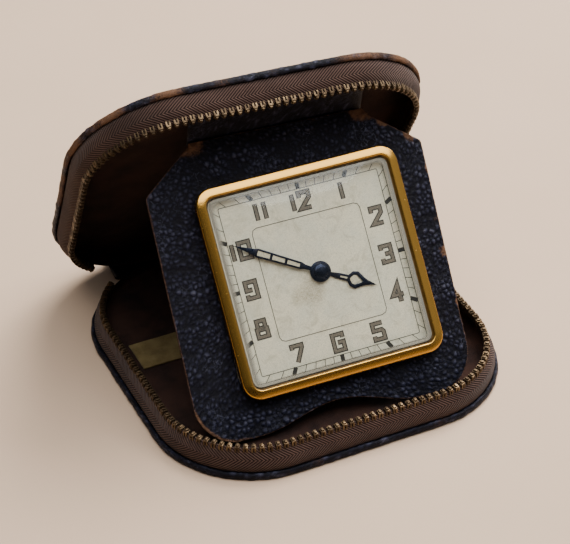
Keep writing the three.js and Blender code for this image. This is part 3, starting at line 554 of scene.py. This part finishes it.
# The second colour is tarnish in the film's patches, and painted shade on the bezel's inner wall.
GILT = metal("gilt_brass", (0.60, 0.33, 0.065), (0.12, 0.07, 0.032), 0.24, pits=0.9, film=(0.62, 1.1),
             painted_shade_part=True)
DIAL_FACE_LOOK = dial_face("dial_face")
TRACK_INK = ink("track_ink", (0.018, 0.017, 0.016), (0.065, 0.06, 0.05))
NUMERAL_FILL = ink("numeral_fill", (0.13, 0.112, 0.09), (0.24, 0.21, 0.17))
LUME = ink("aged_lume", (0.62, 0.58, 0.44), (0.40, 0.36, 0.25))
BLUED = metal("blued_steel", (0.020, 0.028, 0.055), (0.035, 0.030, 0.030), 0.24)
CRYSTAL_CLEAR = glass("crystal_clear")

# ---------- case halves ----------


def grain(points, size):
    """Pebble height, 0 to about 1, at each point: rounded cells with creases between them."""
    heights = []
    for point in points:
        near = noise.voronoi(Vector(point) / size)[0]
        swell = 0.75 + 0.5 * noise.noise(Vector(point) / (size * 4))
        heights.append(math.sqrt(smoothstep(0.0, 0.95, near[1] - near[0])) * swell)
    return heights


# The cover's rolled edge from its outside face round to its inside: (inset from the outline, height).
ROLLED_EDGE = [(0.45, 0.02), (0.16, 0.14), (0.02, 0.42), (0.0, 0.9), (0.02, 1.4), (0.14, 1.85), (0.42, 2.15),
               (0.8, 2.15), (1.1, 1.9), (1.2, COVER_THICK)]


def leather_cover(half, step, rings, worn):
    """A leather face of one case half, outer side down: pebbles outside, a rolled edge round it."""
    width, depth = RIM_WIDTH + 2 * COVER_OUTSET, RIM_DEPTH + 2 * COVER_OUTSET
    outline = rounded_rect(width, depth, RIM_RADIUS + COVER_OUTSET, step)
    section = [(0.5, 1 - (i + 0.6) / (rings + 0.6), 0.0) for i in range(rings)]
    section += [(inset, 0, z) for inset, z in ROLLED_EDGE]
    section += [(3.5, 0, COVER_THICK), (0.5, 0.6, COVER_THICK)]
    points, wear = [], []
    for inset, shrink, z in section:
        rim = smoothstep(4.0, 0.0, 40 * shrink + inset)
        for point, normal in outline:
            ragged = 0.2 * noise.noise(Vector((point.x, point.y, 3)) * 0.45)
            x, y = (point - normal * (inset + ragged)) * (1 - shrink)
            points.append((x, y, z))
            wear.append(worn(x, y) * rim)
    heights = grain(points, COVER_PEBBLE)
    edge_relief, face_relief = 0.3, 0.26
    points = [(x, y, z + (edge_relief * (h - 0.5) if z > 1.0 else face_relief * (1 - h)))
              for (x, y, z), h in zip(points, heights)]
    piece = new_piece(half + "_leather", points, skin(len(section), len(outline)), HALVES[half], NAVY,
                      {"pebble": heights, "wear": wear})
    settle(piece, half, "navy_leather", half + "_cover")


# The tape's cross-section, up its outside face and down its inside: (outwards from the rim, height).
TAPE_OUTSIDE = [(1.9, 1.45), (2.4, 2.7), (2.35, 4.3), (1.6, 6.3), (0.5, 7.7), (0.05, 8.3)]
TAPE_INSIDE = [(-0.35, 8.2), (-0.25, 7.6), (0.8, 5.9), (1.5, 3.9), (1.5, 1.45)]


def zip_tape(half, seed):
    """The herringbone wall between the leather and the teeth, bulging outwards."""
    path = zip_path(ZIP_END_ANGLE, ZIP_END_ANGLE)
    profile = curve_through(TAPE_OUTSIDE) + curve_through(TAPE_INSIDE)
    points, runs = [], []
    for point, normal, run in path:
        for offset, z in profile:
            wave = noise.noise(Vector((run * 0.09, z * 0.15, seed)))
            push = 0.35 * wave * smoothstep(1.5, 4.5, z) * smoothstep(8.4, 5.0, z)
            x, y = point + normal * (offset + push)
            points.append((x, y, z))
            runs.append(run)
    piece = new_piece(half + "_tape", points, skin(len(path), len(profile)), HALVES[half], TAPE_CLOTH,
                      {"run": runs, "rise": runs_along(profile) * len(path)})
    settle(piece, half, "zip_tape", half + "_zip_tape")


# A tooth's boxes: (half width outwards, bottom, top, half length along the rim, shift along the rim).
TOOTH_BOXES = [
    (0.86, -1.2, 0.35, 0.25, -0.42),   # two legs, clamped on the tape's edge
    (0.86, -1.2, 0.35, 0.25, 0.42),
    (0.8, 0.05, 0.6, 0.62, 0.0),       # the bridge between them
    (0.55, 0.5, 1.05, 0.36, 0.0),      # the head
]


def tooth():
    """The points and faces of one zip tooth, its axes out of the rim, along it and up."""
    shape = bmesh.new()
    for half_out, low, high, half_run, shift in TOOTH_BOXES:
        for vertex in bmesh.ops.create_cube(shape, size=2.0)["verts"]:
            vertex.co.x *= half_out
            vertex.co.y = vertex.co.y * half_run + shift
            vertex.co.z = low if vertex.co.z < 0 else high
    bmesh.ops.bevel(shape, geom=shape.edges[:], offset=0.14, segments=2, affect="EDGES", profile=0.6)
    points = [vertex.co.copy() for vertex in shape.verts]
    faces = [tuple(vertex.index for vertex in face.verts) for face in shape.faces]
    shape.free()
    return points, faces


def zip_chain(half, right_end, seed):
    """A row of separate teeth along the rim, each leaning and lifted a little by chance."""
    path = zip_path(ZIP_END_ANGLE, right_end)
    draw = random.Random(seed)
    tooth_points, tooth_faces = tooth()
    points, faces = [], []
    for i in range(int(path[-1][2] / TOOTH_PITCH)):
        centre, normal = along(path, (i + 0.5) * TOOTH_PITCH)
        side = Vector((-normal.y, normal.x))
        lean = math.radians(draw.gauss(0, 2.0))
        lift = draw.gauss(0, 0.03)
        first = len(points)
        for point in tooth_points:
            out = point.x * math.cos(lean) - point.z * math.sin(lean) - 0.1
            up = point.x * math.sin(lean) + point.z * math.cos(lean) + RIM_HEIGHT + lift
            x, y = centre + normal * out + side * point.y
            points.append((x, y, up))
        faces += [tuple(first + k for k in face) for face in tooth_faces]
    piece = new_piece(half + "_teeth", points, faces, HALVES[half], ZIP_BRASS, sharp=50)
    settle(piece, half, "zip_metal", half + "_zip_chain")


# The lining's wall as (outwards from the rim, height): up its hidden side, then down its open side.
LINING_OUTSIDE = [(-0.5, 1.72), (1.1, 1.75), (1.42, 3.0), (1.3, 4.2), (0.5, 5.9), (-0.55, 7.25)]
LINING_INSIDE = [(-0.62, 7.35), (0.0, 6.6), (1.0, 5.0), (1.25, 3.4), (0.9, 2.4), (-0.4, LINING_FLOOR)]


def lining_tray(half, seed):
    """Cloth over the floor of one half and up its wall."""
    outline = rounded_rect(RIM_WIDTH, RIM_DEPTH, RIM_RADIUS, 1.2)
    section = [(0, LINING_UNDERSIDE, 0.97 - 0.09 * i) for i in range(10)]
    section += [(offset, z, 0) for offset, z in LINING_OUTSIDE + curve_through(LINING_INSIDE, 3)]
    section += [(0, LINING_FLOOR, 0.05 + 0.04 * i) for i in range(24)]
    points = []
    for offset, z, shrink in section:
        for point, normal in outline:
            x, y = (point + normal * offset) * (1 - shrink)
            sag = 0.12 * noise.noise(Vector((x * 0.12, y * 0.12, seed))) if z > 1.9 else 0.0
            points.append((x, y, z + sag))
    faces = skin(len(section), len(outline))
    piece = new_piece(half + "_lining_cloth", points, faces, HALVES[half], LINING_CLOTH)
    settle(piece, half, "brown_lining", half + "_lining")


def lining_band():
    """The flat woven band across the base's lining, a little crowned on top."""
    low, high = (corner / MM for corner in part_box("lining_band"))
    middle, half, columns, rows = (low + high) / 2, (high - low) / 2, 84, 12
    half_thick = 0.14
    across = [2 * j / rows - 1 for j in range(rows + 1)]
    points = []
    for i in range(columns + 1):
        x = middle.x + half.x * (2 * i / columns - 1)
        for side, share in [(1, share) for share in across] + [(-1, share) for share in across[::-1]]:
            y = middle.y + half.y * share
            crown = 0.12 * (1 - share ** 4) + 0.10 * noise.noise(Vector((x * 0.2, y * 0.2, 5)))
            points.append((x, y, middle.z + side * half_thick + (crown if side > 0 else 0)))
    faces = skin(columns + 1, 2 * len(across))
    piece = new_piece("woven_band", points, faces, BASE, BAND_CLOTH, sharp=60)
    settle(piece, "base", "olive_band", "lining_band")


def strip(name, centre_line, half_width, thick, place, seed, worn):
    """A leather strip whose length follows (y, z) points, wide along x."""
    line = curve_through(centre_line, 5)
    columns = int(half_width * 2 / 0.7)
    section = []
    for side in (1, -1):
        for i in range(len(line))[::side]:
            ahead = line[min(i + 1, len(line) - 1)] - line[max(i - 1, 0)]
            normal = Vector((-ahead.y, ahead.x)).normalized()
            section.append((line[i] + normal * side * thick / 2, normal, side))
    points, wear = [], []
    for k in range(columns + 1):
        x = half_width * (2 * k / columns - 1)
        edge = smoothstep(0, 0.8, half_width - abs(x))
        for point, normal, side in section:
            pinch = -side * (1 - edge) * thick * 0.32
            wave = 0.14 * noise.noise(Vector((x * 0.16, point.x * 0.3, seed)))
            y, z = point + normal * (pinch + wave)
            points.append((x, y, z))
            wear.append(worn * (1 - edge))
    heights = grain(points, STRIP_PEBBLE)
    piece = new_piece(name, points, skin(columns + 1, len(section)), place, NAVY,
                      {"pebble": heights, "wear": wear})
    return piece


def spine():
    """The leather between base and lid: along the table, then up behind the lid."""
    line = [(-1.4, 1.1), (0.8, 0.75), (3.2, 0.62), (5.6, 1.0), (7.4, 2.0), (8.3, 3.1), (7.6, 4.6)]
    piece = strip("leather_spine", line, SPINE_HALF_WIDTH, 0.9, SPINE, 21, 0.5)
    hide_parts("spine_hinge")
    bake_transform(piece)


def flap():
    """The leather between lid and panel, in two pieces that meet half way."""
    top, low = joint_place("flap_fold"), joint_place("easel_fold")
    down = (low - top).normalized()
    length = (low - top).length
    place = placed(top, RIGHT, down, RIGHT.cross(down))
    bow, reach = 0.5, down * 1.6      # the bulge half way down, and the bend's reach past a fold
    line = [(-4.0, -0.2), (-1.0, 0.0), (length * 0.25, bow * 0.7), (length * 0.52, bow)]
    upper = strip("easel_flap_upper", line, FLAP_WIDTH / 2, FLAP_THICK, place, 31, 0.4)
    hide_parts("flap_anchor", "easel_flap")
    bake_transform(upper)
    line = [(length * 0.48, bow), (length * 0.75, bow * 0.7), (length + 1.2, 0.0)]
    lower = strip("easel_flap_lower", line, FLAP_WIDTH / 2, FLAP_THICK, place, 31, 0.4)
    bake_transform(lower)


# ---------- easel panel ----------


def panel_outline(inset, step):
    """The panel's edge: rounded feet with a notch between them, sloping shoulders and a tab on top."""
    foot, slope = PANEL_FOOT + inset, inset * 0.4
    right = [(PANEL_HALF_WIDTH - inset, foot, FOOT_RADIUS - inset),
             (PANEL_HALF_WIDTH - inset, PANEL_SHOULDER - slope, 1.5),
             (TAB_HALF_WIDTH + 0.5 - slope, PANEL_TOP - inset, 0.8),
             (TAB_HALF_WIDTH - inset, TAB_TOP - inset, 0.4)]
    left = [(-x, y, radius) for x, y, radius in right]
    corners = left[:1] + right + left[:0:-1]
    points = []
    for point, normal in rounded_outline(corners, step):
        if abs(point.x) < NOTCH_HALF_WIDTH and point.y < foot + 1:
            lift = NOTCH_HEIGHT * (0.5 + 0.5 * math.cos(math.pi * point.x / NOTCH_HALF_WIDTH))
            point = point + Vector((0, lift))
        points.append((point, normal))
    return points


def hole_point(direction, half, radius):
    """Where a ray from the middle leaves a rounded square, found by halving."""
    low, high = 0.0, half * 1.5
    for _ in range(24):
        middle = (low + high) / 2
        x, y = (max(abs(value) * middle - half + radius, 0.0) for value in direction)
        inside = math.hypot(x, y) < radius and max(abs(v) for v in direction) * middle < half
        low, high = (middle, high) if inside else (low, middle)
    return direction * low


def panel_wear(u, v, edge):
    """Rubbed leather: the tab's corners, the lower left corner and spots down the right edge."""
    near_edge = smoothstep(1.3, 0.0, edge)
    tabs = smoothstep(6.5, 0.4, math.hypot(abs(u) - TAB_HALF_WIDTH + 0.4, 1.6 * (v - PANEL_TOP - 0.2)))
    corner = smoothstep(12.0, 3.0, math.hypot(u + PANEL_HALF_WIDTH - 3.5, v - PANEL_FOOT - 3.5)) * near_edge
    right = smoothstep(3.4, 0.4, edge) * smoothstep(0.08, 0.4, noise.noise(Vector((u, v, 0)) * 0.24))
    return min(1.0, 0.9 * tabs + 0.8 * corner + (0.75 if u > 0 else 0.2) * right + 0.25 * near_edge)


def panel_sheet(name, cad_node, inset, span, material, slot, fine):
    """One layer of the panel, round the clock's hole: front face, soft edge, back face."""
    outline = panel_outline(inset, 0.36 if fine else 1.2)
    low, high = span
    thick = high - low
    rings = 34 if fine else 6
    soft = min(0.45 * thick, 0.6)
    front = [(1.1 * soft, 1 - i / rings, high) for i in range(rings)] + [(1.1 * soft, 0, high)]
    edge = [(0.45 * soft, 0, high - 0.22 * soft), (0.08 * soft, 0, high - 0.62 * soft),
            (0, 0, (low + high) / 2), (0.1 * soft, 0, low + 0.5 * soft), (0.6 * soft, 0, low)]
    back = [(0.6 * soft, 0.5, low), (0.6 * soft, 1, low)]
    section = front + edge + back
    centre = Vector((CLOCK_OFFSET, 0))
    points, wear = [], []
    for inward, shrink, w in section:
        for point, normal in outline:
            away = point - centre
            rim = centre + hole_point(away.normalized(), CLOCK_HOLE / 2, CLOCK_HOLE_RADIUS)
            spot = (point - normal * inward * (1 - shrink)).lerp(rim, shrink)
            points.append((spot.x, spot.y, w))
            rubbed = panel_wear(spot.x, spot.y, (spot - point).length)
            wear.append(max(rubbed, 0.6) if low < w < high - 0.1 * soft else rubbed)
    heights = grain(points, PANEL_PEBBLE)
    if fine:
        for i, (u, v, w) in enumerate(points):
            swell = 0.22 * noise.noise(Vector((u, v, 2)) * 0.12)
            points[i] = (u, v, w + smoothstep(low, high, w) * (0.7 * heights[i] - 0.5 + swell))
    piece = new_piece(name, points, skin(len(section), len(outline), joined=True), PANEL, material,
                      {"pebble": heights, "wear": wear})
    settle(piece, "easel", slot, cad_node)


# ---------- clock face ----------


# The bezel's cross-section as (outwards from its outline, height): an outward-tilted band, highest
# inside, then a wall down to the crystal, painted in shade.
BEZEL_FOOT = [(-0.1, 0.3), (0, 1.0)]
BEZEL_BAND = [(0, 2.35), (-0.06, 2.6), (-0.2, 2.77), (-0.45, 2.88), (-0.9, 3.03), (-1.35, 3.17), (-1.8, 3.29),
              (-2.2, 3.37), (-2.4, 3.38), (-2.52, 3.32)]
BEZEL_WALL = [(-2.6, 3.2), (-2.78, 2.8), (-2.98, 2.35)]


def bezel():
    """The gilt frame: the cross-section carried round a rounded square."""
    profile = BEZEL_FOOT + BEZEL_BAND + BEZEL_WALL + [(-2.95, 0.3)]
    # The wall is painted in shade, and its foot fully so.
    painted_shade_of = [0.0] * len(BEZEL_FOOT + BEZEL_BAND) + [0.8] * len(BEZEL_WALL) + [1.0]
    outline = rounded_rect(BEZEL_SIZE, BEZEL_SIZE, BEZEL_RADIUS, 0.5)
    points = []
    for offset, w in profile:
        for point, normal in outline:
            x, y = point + normal * offset
            points.append((x, y, w))
    film_and_painted_shade = [value for value in painted_shade_of for _ in outline]
    faces = skin(len(profile), len(outline), joined=True)
    piece = new_piece("gilt_bezel", points, faces, CLOCK, GILT, {"film_and_painted_shade": film_and_painted_shade}, sharp=60)
    settle(piece, "easel", "gilt_brass", "bezel")


def crystal():
    """A dome over the dial, steepest at its edges, with its thick rim painted grey where the steep edge bends the
    light.
    """
    half, rings = DIAL_SIZE / 2, 34
    outline = rounded_rect(DIAL_SIZE, DIAL_SIZE, BEZEL_RADIUS - BEZEL_FACE, 0.8)
    scales = [math.sin(math.pi / 2 * (i + 1) / rings) for i in range(rings)]
    points, rim = [], []
    for drop, order in ((0.0, scales), (CRYSTAL_THICK, scales[::-1])):
        for scale in order:
            for point, _ in outline:
                x, y = point * scale
                dome = (1 - abs(x / half) ** 3.2) * (1 - abs(y / half) ** 3.2)
                points.append((x, y, CRYSTAL_RIM + CRYSTAL_RISE * dome - drop))
                # Painted grey on the steep rim, for the light the edge bends away.
                rim.append(0.5 * smoothstep(0.952, 0.972, scale))
    piece = new_piece("domed_crystal", points, skin(2 * rings, len(outline)), CLOCK, CRYSTAL_CLEAR,
                      {"rim": rim})
    settle(piece, "easel", "crystal", "crystal")


def ribbon(points, width, closed=False):
    """Quads along a path of the given width, mitred at its corners."""
    path = [Vector(point) for point in points]
    sides = [(b - a).normalized().orthogonal() for a, b in zip(path, path[1:] + path[:1])]
    edges = []
    for i, here in enumerate(path):
        into = sides[i - 1] if i or closed else sides[0]
        out = sides[i] if i < len(path) - 1 or closed else into
        normal = (into + out).normalized()
        reach = normal * (width / 2 / max(normal.dot(into), 0.35))
        edges.append((here + reach, here - reach))
    if closed:
        edges.append(edges[0])
    return [(a, b, d, c) for (a, b), (c, d) in zip(edges, edges[1:])]


def printed(name, quads, height, material, thick=0.02):
    """Ink on the dial: each flat quad is a thin plate just above the dial's face."""
    points, faces = [], []
    for quad in quads:
        first = len(points)
        points += [(x, y, level) for level in (height - thick, height) for x, y in quad]
        faces += [tuple(first + i for i in face) for face in skin(2, len(quad))]
    piece = new_piece(name, points, faces, CLOCK, material, sharp=30)
    settle(piece, "easel", "dial_paper")


# Each numeral as strokes on a grid: x from 0 to 1 across, y from 0 to 1 up.
DIGITS = {
    "0": [[(0, 0), (1, 0), (1, 1), (0, 1), (0, 0)]],
    "1": [[(0.5, 0), (0.5, 1)]],
    "2": [[(0, 0.72), (0, 1), (1, 1), (1, 0.66), (0, 0.0), (1, 0.0)]],
    "3": [[(0, 0.78), (0, 1), (1, 1), (1, 0.6), (0.8, 0.5), (1, 0.4), (1, 0), (0, 0), (0, 0.22)],
          [(0.35, 0.5), (0.8, 0.5)]],
    "4": [[(0.72, 0), (0.72, 1), (0, 0.3), (1.1, 0.3)], [(0.5, 0), (0.95, 0)]],
    "5": [[(1, 1), (0, 1), (0, 0.56), (0.85, 0.56), (1, 0.44), (1, 0), (0, 0), (0, 0.22)]],
    "6": [[(1, 0.78), (1, 1), (0, 1), (0, 0), (1, 0), (1, 0.5), (0.45, 0.5)]],
    "7": [[(0, 0.8), (0, 1), (1, 1), (1, 0.86), (0.3, 0)]],
    "8": [[(0.12, 0.54), (0.12, 1), (0.88, 1), (0.88, 0.54)], [(0, 0), (1, 0), (1, 0.46), (0, 0.46), (0, 0)],
          [(0.12, 0.54), (0.88, 0.54)]],
    "9": [[(0, 0.22), (0, 0), (1, 0), (1, 1), (0, 1), (0, 0.5), (0.55, 0.5)]],
}
NUMERAL_HEIGHT, DIGIT_WIDTH, STROKE = 4.25, 2.75, 1.08
NUMERAL_RING = 19.3           # from the middle of the dial to the line of numerals
NUMERAL_SIDE = 11.5           # how far along that line a number stands from its middle
TRACK_OUTER, TRACK_INNER, INNER_SQUARE = DIAL_SIZE / 2 - 0.8, DIAL_SIZE / 2 - 2.6, 15.3
TRACK_LINE, MINUTE_MARK, HOUR_MARK = 0.19, 0.18, 1.15


def numeral_place(hour):
    """Where an hour's number stands on the square ring of numerals."""
    angle = math.radians(30 * hour)
    x, y = math.sin(angle), math.cos(angle)
    if max(abs(x), abs(y)) > 0.99:
        return round(x) * NUMERAL_RING, round(y) * NUMERAL_RING
    if abs(y) > abs(x):
        return math.copysign(NUMERAL_SIDE, x), math.copysign(NUMERAL_RING, y)
    return math.copysign(NUMERAL_RING, x), math.copysign(NUMERAL_SIDE - 1.0, y)


def numeral_strokes(text, centre):
    """The strokes of an hour's number, centred on a point of the dial."""
    widths = [0.0 if digit == "1" else DIGIT_WIDTH for digit in text]
    gap = STROKE + (1.3 if text == "11" else 0.85)
    left = centre[0] - (sum(widths) + gap * (len(text) - 1)) / 2
    strokes = []
    for digit, width in zip(text, widths):
        for stroke in DIGITS[digit]:
            strokes.append([(left + x * width, centre[1] + (y - 0.5) * NUMERAL_HEIGHT) for x, y in stroke])
        left += width + gap
    return strokes


def lengthened(path, extra):
    """The same path with both its ends carried on a little."""
    path = [Vector(point) for point in path]
    path[0] = path[0] + (path[0] - path[1]).normalized() * extra
    path[-1] = path[-1] + (path[-1] - path[-2]).normalized() * extra
    return path


def dial_plate():
    """The dial's plate, a little rounded at its corners."""
    outline = rounded_rect(DIAL_SIZE, DIAL_SIZE, 2.0, 0.8)
    back = DIAL_FACE - 0.4
    section = [(0.04, back), (0.5, back), (1.0, back), (1.0, DIAL_FACE - 0.05)]
    section += [(1 - i / 20, DIAL_FACE) for i in range(20)]
    points = [(point.x * scale, point.y * scale, w) for scale, w in section for point, _ in outline]
    plate = new_piece("dial_plate", points, skin(len(section), len(outline)), CLOCK, DIAL_FACE_LOOK, sharp=40)
    settle(plate, "easel", "dial_paper", "dial")


def minute_track():
    """Two squares with the minute marks between them, and the plain square inside the numerals."""
    shapes = []
    for reach, radius in ((TRACK_OUTER, 0.8), (TRACK_INNER, 0.4), (INNER_SQUARE, 1.5)):
        square = [point for point, _ in rounded_rect(2 * reach, 2 * reach, radius, 2.0)]
        shapes += ribbon(square, TRACK_LINE, closed=True)
    for minute in range(60):
        angle = math.radians(6 * minute)
        way = Vector((math.sin(angle), math.cos(angle)))
        mark = [hole_point(way, TRACK_INNER, 0.4), hole_point(way, TRACK_OUTER, 0.8)]
        shapes += ribbon(mark, HOUR_MARK if minute % 5 == 0 else MINUTE_MARK)
    return shapes


def dial_print():
    """The track and the numerals' dark outlines in one piece, the numerals' fill in another."""
    shapes, filled = minute_track(), []
    for hour in range(1, 13):
        for stroke in numeral_strokes(str(hour), numeral_place(hour)):
            shut = stroke[0] == stroke[-1]
            inside = stroke[:-1] if shut else stroke
            outside = inside if shut else lengthened(inside, 0.12)
            shapes += ribbon(outside, STROKE + 0.26, closed=shut)
            filled += ribbon(inside, STROKE - 0.34, closed=shut)
    printed("dial_print", shapes, DIAL_FACE + 0.03, TRACK_INK)
    printed("numeral_fill", filled, DIAL_FACE + 0.05, NUMERAL_FILL)


# ---------- hands ----------

# The radius of both hands' round part, and of the bores through them.
COLLAR_RADIUS, MINUTE_BORE, HOUR_BORE = 2.75, 0.7, 1.8


def arc_points(radius, start, stop, count):
    """Points on a circle between two angles, clockwise from twelve."""
    angles = [math.radians(start + (stop - start) * k / count) for k in range(count + 1)]
    return [(radius * math.sin(angle), radius * math.cos(angle)) for angle in angles]


def mirrored(points):
    """A symmetrical outline from its right-hand side, listed from the tip down."""
    return points + [(-x, y) for x, y in points[::-1] if x > 1e-6]


def hand(name, blade, bore, windows, lume, span, body, angle):
    """A pierced hand from the right-hand side of its blade, with aged lume in its windows."""
    outline = mirrored(blade + arc_points(COLLAR_RADIUS, 10, 180, 24)[:-1] + [(0, -COLLAR_RADIUS)])
    hole = arc_points(bore, 0, 345, 23)
    piece = flat_shape(name + "_blade", [outline, hole] + windows, *span, BLUED, 0.05, angle)
    settle(piece, body, "blued_steel", name)
    middle = sum(span) / 2
    filling = flat_shape(name + "_lume", [lume], middle - 0.06, middle + 0.02, LUME, 0, angle)
    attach(filling, body)


def minute_hand():
    """A long blade with three windows, one after the other."""
    blade = [(0, 24.4), (0.8, 18.8), (1.15, 17.9), (0.92, 5.6), (0.6, 4.6)]
    windows = []
    for k in range(3):
        low, high = 5.9 + 4.2 * k, 9.5 + 4.2 * k
        half_low, half_high = (0.50 + 0.018 * (y - 5.6) for y in (low, high))
        windows.append([(-half_low, low), (half_low, low), (half_high, high), (-half_high, high)])
    lume = [(-0.7, 5.7), (0.7, 5.7), (0.92, 17.9), (-0.92, 17.9)]
    hand("minute_hand", blade, MINUTE_BORE, windows, lume, MINUTE_HAND, "centre_train", MINUTE_ANGLE)


def hour_hand():
    """A short blade with a slit and an open spade."""
    blade = [(0, 15.8), (0.6, 13.4), (1.05, 12.3), (2.3, 10.3), (2.0, 8.8), (0.8, 7.8), (0.75, 5.2)]
    spade = mirrored([(0, 12.2), (0.45, 11.6), (1.35, 10.1), (1.2, 9.2), (0.35, 8.5), (0, 8.35)])
    slit = [(-0.25, 5.6), (0.25, 5.6), (0.3, 7.7), (-0.3, 7.7)]
    lume = mirrored([(0, 11.2), (1.2, 10.0), (1.3, 9.3), (0.4, 8.4), (0.45, 5.5)])
    hand("hour_hand", blade, HOUR_BORE, [spade, slit], lume, HOUR_HAND, "hour_train", HOUR_ANGLE)


def boss():
    """The domed nut over the hands."""
    rings, count, radius, rise = 8, 48, 2.0, 0.55
    low = MINUTE_HAND[1] + 0.02
    shoulder = low + 0.12
    section = [(0.05, low), (radius, low), (radius, shoulder)]
    for k in range(1, rings):
        angle = math.pi / 2 * k / rings
        section.append((radius * math.cos(angle), shoulder + rise * math.sin(angle)))
    section.append((0.05, shoulder + rise))
    turns = [2 * math.pi * i / count for i in range(count)]
    points = [(r * math.cos(turn), r * math.sin(turn), w) for r, w in section for turn in turns]
    piece = new_piece("hand_boss", points, skin(len(section), count), CLOCK, BLUED, sharp=50)
    settle(piece, "centre_train", "blued_steel", "hand_nut")


# ---------- carried-over parts ----------


# The CAD parts that are shown as they are: by material slot, (colour, tarnish, roughness, the rest).
CARRIED_METALS = {
    "movement_brass": ((0.72, 0.53, 0.24), (0.36, 0.25, 0.11), 0.25, {"brushed": 1}),
    "steel": ((0.56, 0.56, 0.57), (0.26, 0.24, 0.22), 0.22, {"brushed": 0.6}),
    "nickel": ((0.60, 0.57, 0.52), (0.30, 0.26, 0.20), 0.26, {"pits": 0.5}),
    "zip_metal": ((0.30, 0.22, 0.12), (0.05, 0.035, 0.022), 0.30, {"film": (0.3, 0.62)}),
}


def dress_carried_parts():
    """Gives each CAD part that no piece replaces its finish and softened edges."""
    looks = {slot: metal("carried_" + slot, colour, tarnish_and_shade, roughness, cad=True, **rest)
             for slot, (colour, tarnish_and_shade, roughness, rest) in CARRIED_METALS.items()}
    looks["blued_steel"] = BLUED
    looks["panel_board"] = card("panel_board", (0.42, 0.36, 0.28), (0.22, 0.17, 0.12))
    slots = {part["node"]: part["material_slot"] for part in frame["record"]["subparts"]}
    for name, node in frame["nodes"].items():
        if node.hide_render:
            continue
        node.data.materials.clear()
        node.data.materials.append(looks[slots[name]])
        bevel = node.modifiers.new("edges", "BEVEL")
        bevel.width = 0.08 * MM
        bevel.segments = 2
        bevel.limit_method = "ANGLE"
        bevel.angle_limit = math.radians(35)


# ---------- stage ----------


def area_light(name, place, aim, size, power, colour):
    light = bpy.data.lights.new(name, "AREA")
    light.shape = "RECTANGLE"
    light.size, light.size_y = size
    light.energy = power
    light.color = colour
    lamp = add_object(name, light)
    lamp.location = place
    lamp.rotation_euler = (Vector(aim) - Vector(place)).to_track_quat("-Z", "Y").to_euler()


def floor():
    """A plain pale table top, just under the case."""
    look = Look("pale_floor", Roughness=0.75, Specular_IOR_Level=0.25)
    where = look.place(cad=True)
    tone = look.noise(where, 0.02, 4)
    look.set(Base_Color=look.mix(tone, (0.50, 0.36, 0.255), (0.54, 0.395, 0.285)))
    look.bump(look.noise(where, 1.5, 4), 0.03)
    reach, gap = 3.0, 0.00002       # metres
    mesh = bpy.data.meshes.new("floor")
    mesh.from_pydata([(-reach, -reach, 0), (reach, -reach, 0), (reach, reach, 0), (-reach, reach, 0)], [],
                     [(0, 1, 2, 3)])
    mesh.materials.append(look.owner)
    table = add_object("floor", mesh)
    table.location.z = -gap


def room():
    """Soft surroundings: pale overhead and to the right, dark low down."""
    world = bpy.data.worlds.new("room")
    look = Look("room", world, "Background", Color=(0.88, 0.88, 0.9, 1))
    toward = look.vector("DOT_PRODUCT", look.node("TexCoord", out="Generated"), (0.5, 0.15, 0.8), out=1)
    dark_from, pale_from, dark, pale = 0.05, 0.9, 0.03, 0.6
    look.set(Strength=look.node("MapRange", i0=toward, i1=dark_from, i2=pale_from, i3=dark, i4=pale))
    bpy.context.scene.world = world


def lights():
    """A lamp high behind on the right, a wide one overhead that the bezel's top mirrors, and a low one."""
    clock = (0, 0, 0.03)
    area_light("overhead", (0.42, 0.36, 0.80), clock, (0.5, 0.4), 14.0, (1.0, 0.97, 0.93))
    area_light("face_light", (0.25, -0.15, 0.98), (0.25, 0, 0.03), (1.5, 0.8), 18.0, (1.0, 0.98, 0.96))
    area_light("side", (0.80, 0.35, 0.40), clock, (0.4, 0.4), 4.0, (1.0, 0.95, 0.88))


def camera():
    """A long lens, in front and to the left, looking down on the clock."""
    azimuth, elevation = math.radians(-25.7), math.radians(36.98)
    place = Vector((-202.7, -416.4, 374.5))
    data = bpy.data.cameras.new("camera")
    data.lens, data.sensor_width = 135.4, 36.0
    data.clip_start = 0.01
    view = add_object("camera", data)
    view.location = place * MM
    view.rotation_euler = (math.pi / 2 - elevation, 0, azimuth)
    bpy.context.scene.camera = view


# ---------- build ----------


def lid_rub(x, y):
    """Leather rubbed to the hide along the lid's free edge, most at its ends."""
    hinge_side = 5
    if y > hinge_side:
        return 0.15
    ends = smoothstep(14, 34, abs(x + 4))
    return 0.32 + 0.35 * ends + 0.7 * noise.noise(Vector((x * 0.16, y * 0.16, 9)))


def base_rub(x, y):
    """A few rubbed spots round the base's edge."""
    return 0.12 + 0.7 * noise.noise(Vector((x * 0.14, y * 0.14, 4)))


leather_cover("base", 0.8, 60, base_rub)
leather_cover("lid", 0.6, 90, lid_rub)
lining_tray("base", 3)
lining_tray("lid", 8)
zip_tape("base", 1)
zip_tape("lid", 2)
zip_chain("base", SLIDER_CHAIN_END, 11)
zip_chain("lid", ZIP_END_ANGLE, 12)
lining_band()
spine()
flap()
panel_sheet("panel_leather", "easel_leather", 0.0, PANEL_LEATHER, NAVY, "navy_leather", True)
panel_sheet("panel_back_cloth", "easel_back_lining", 0.3, PANEL_LINING, LINING_CLOTH, "brown_lining", False)
bezel()
crystal()
dial_plate()
dial_print()
minute_hand()
boss()
hour_hand()
dress_carried_parts()
floor()
room()
lights()
camera()
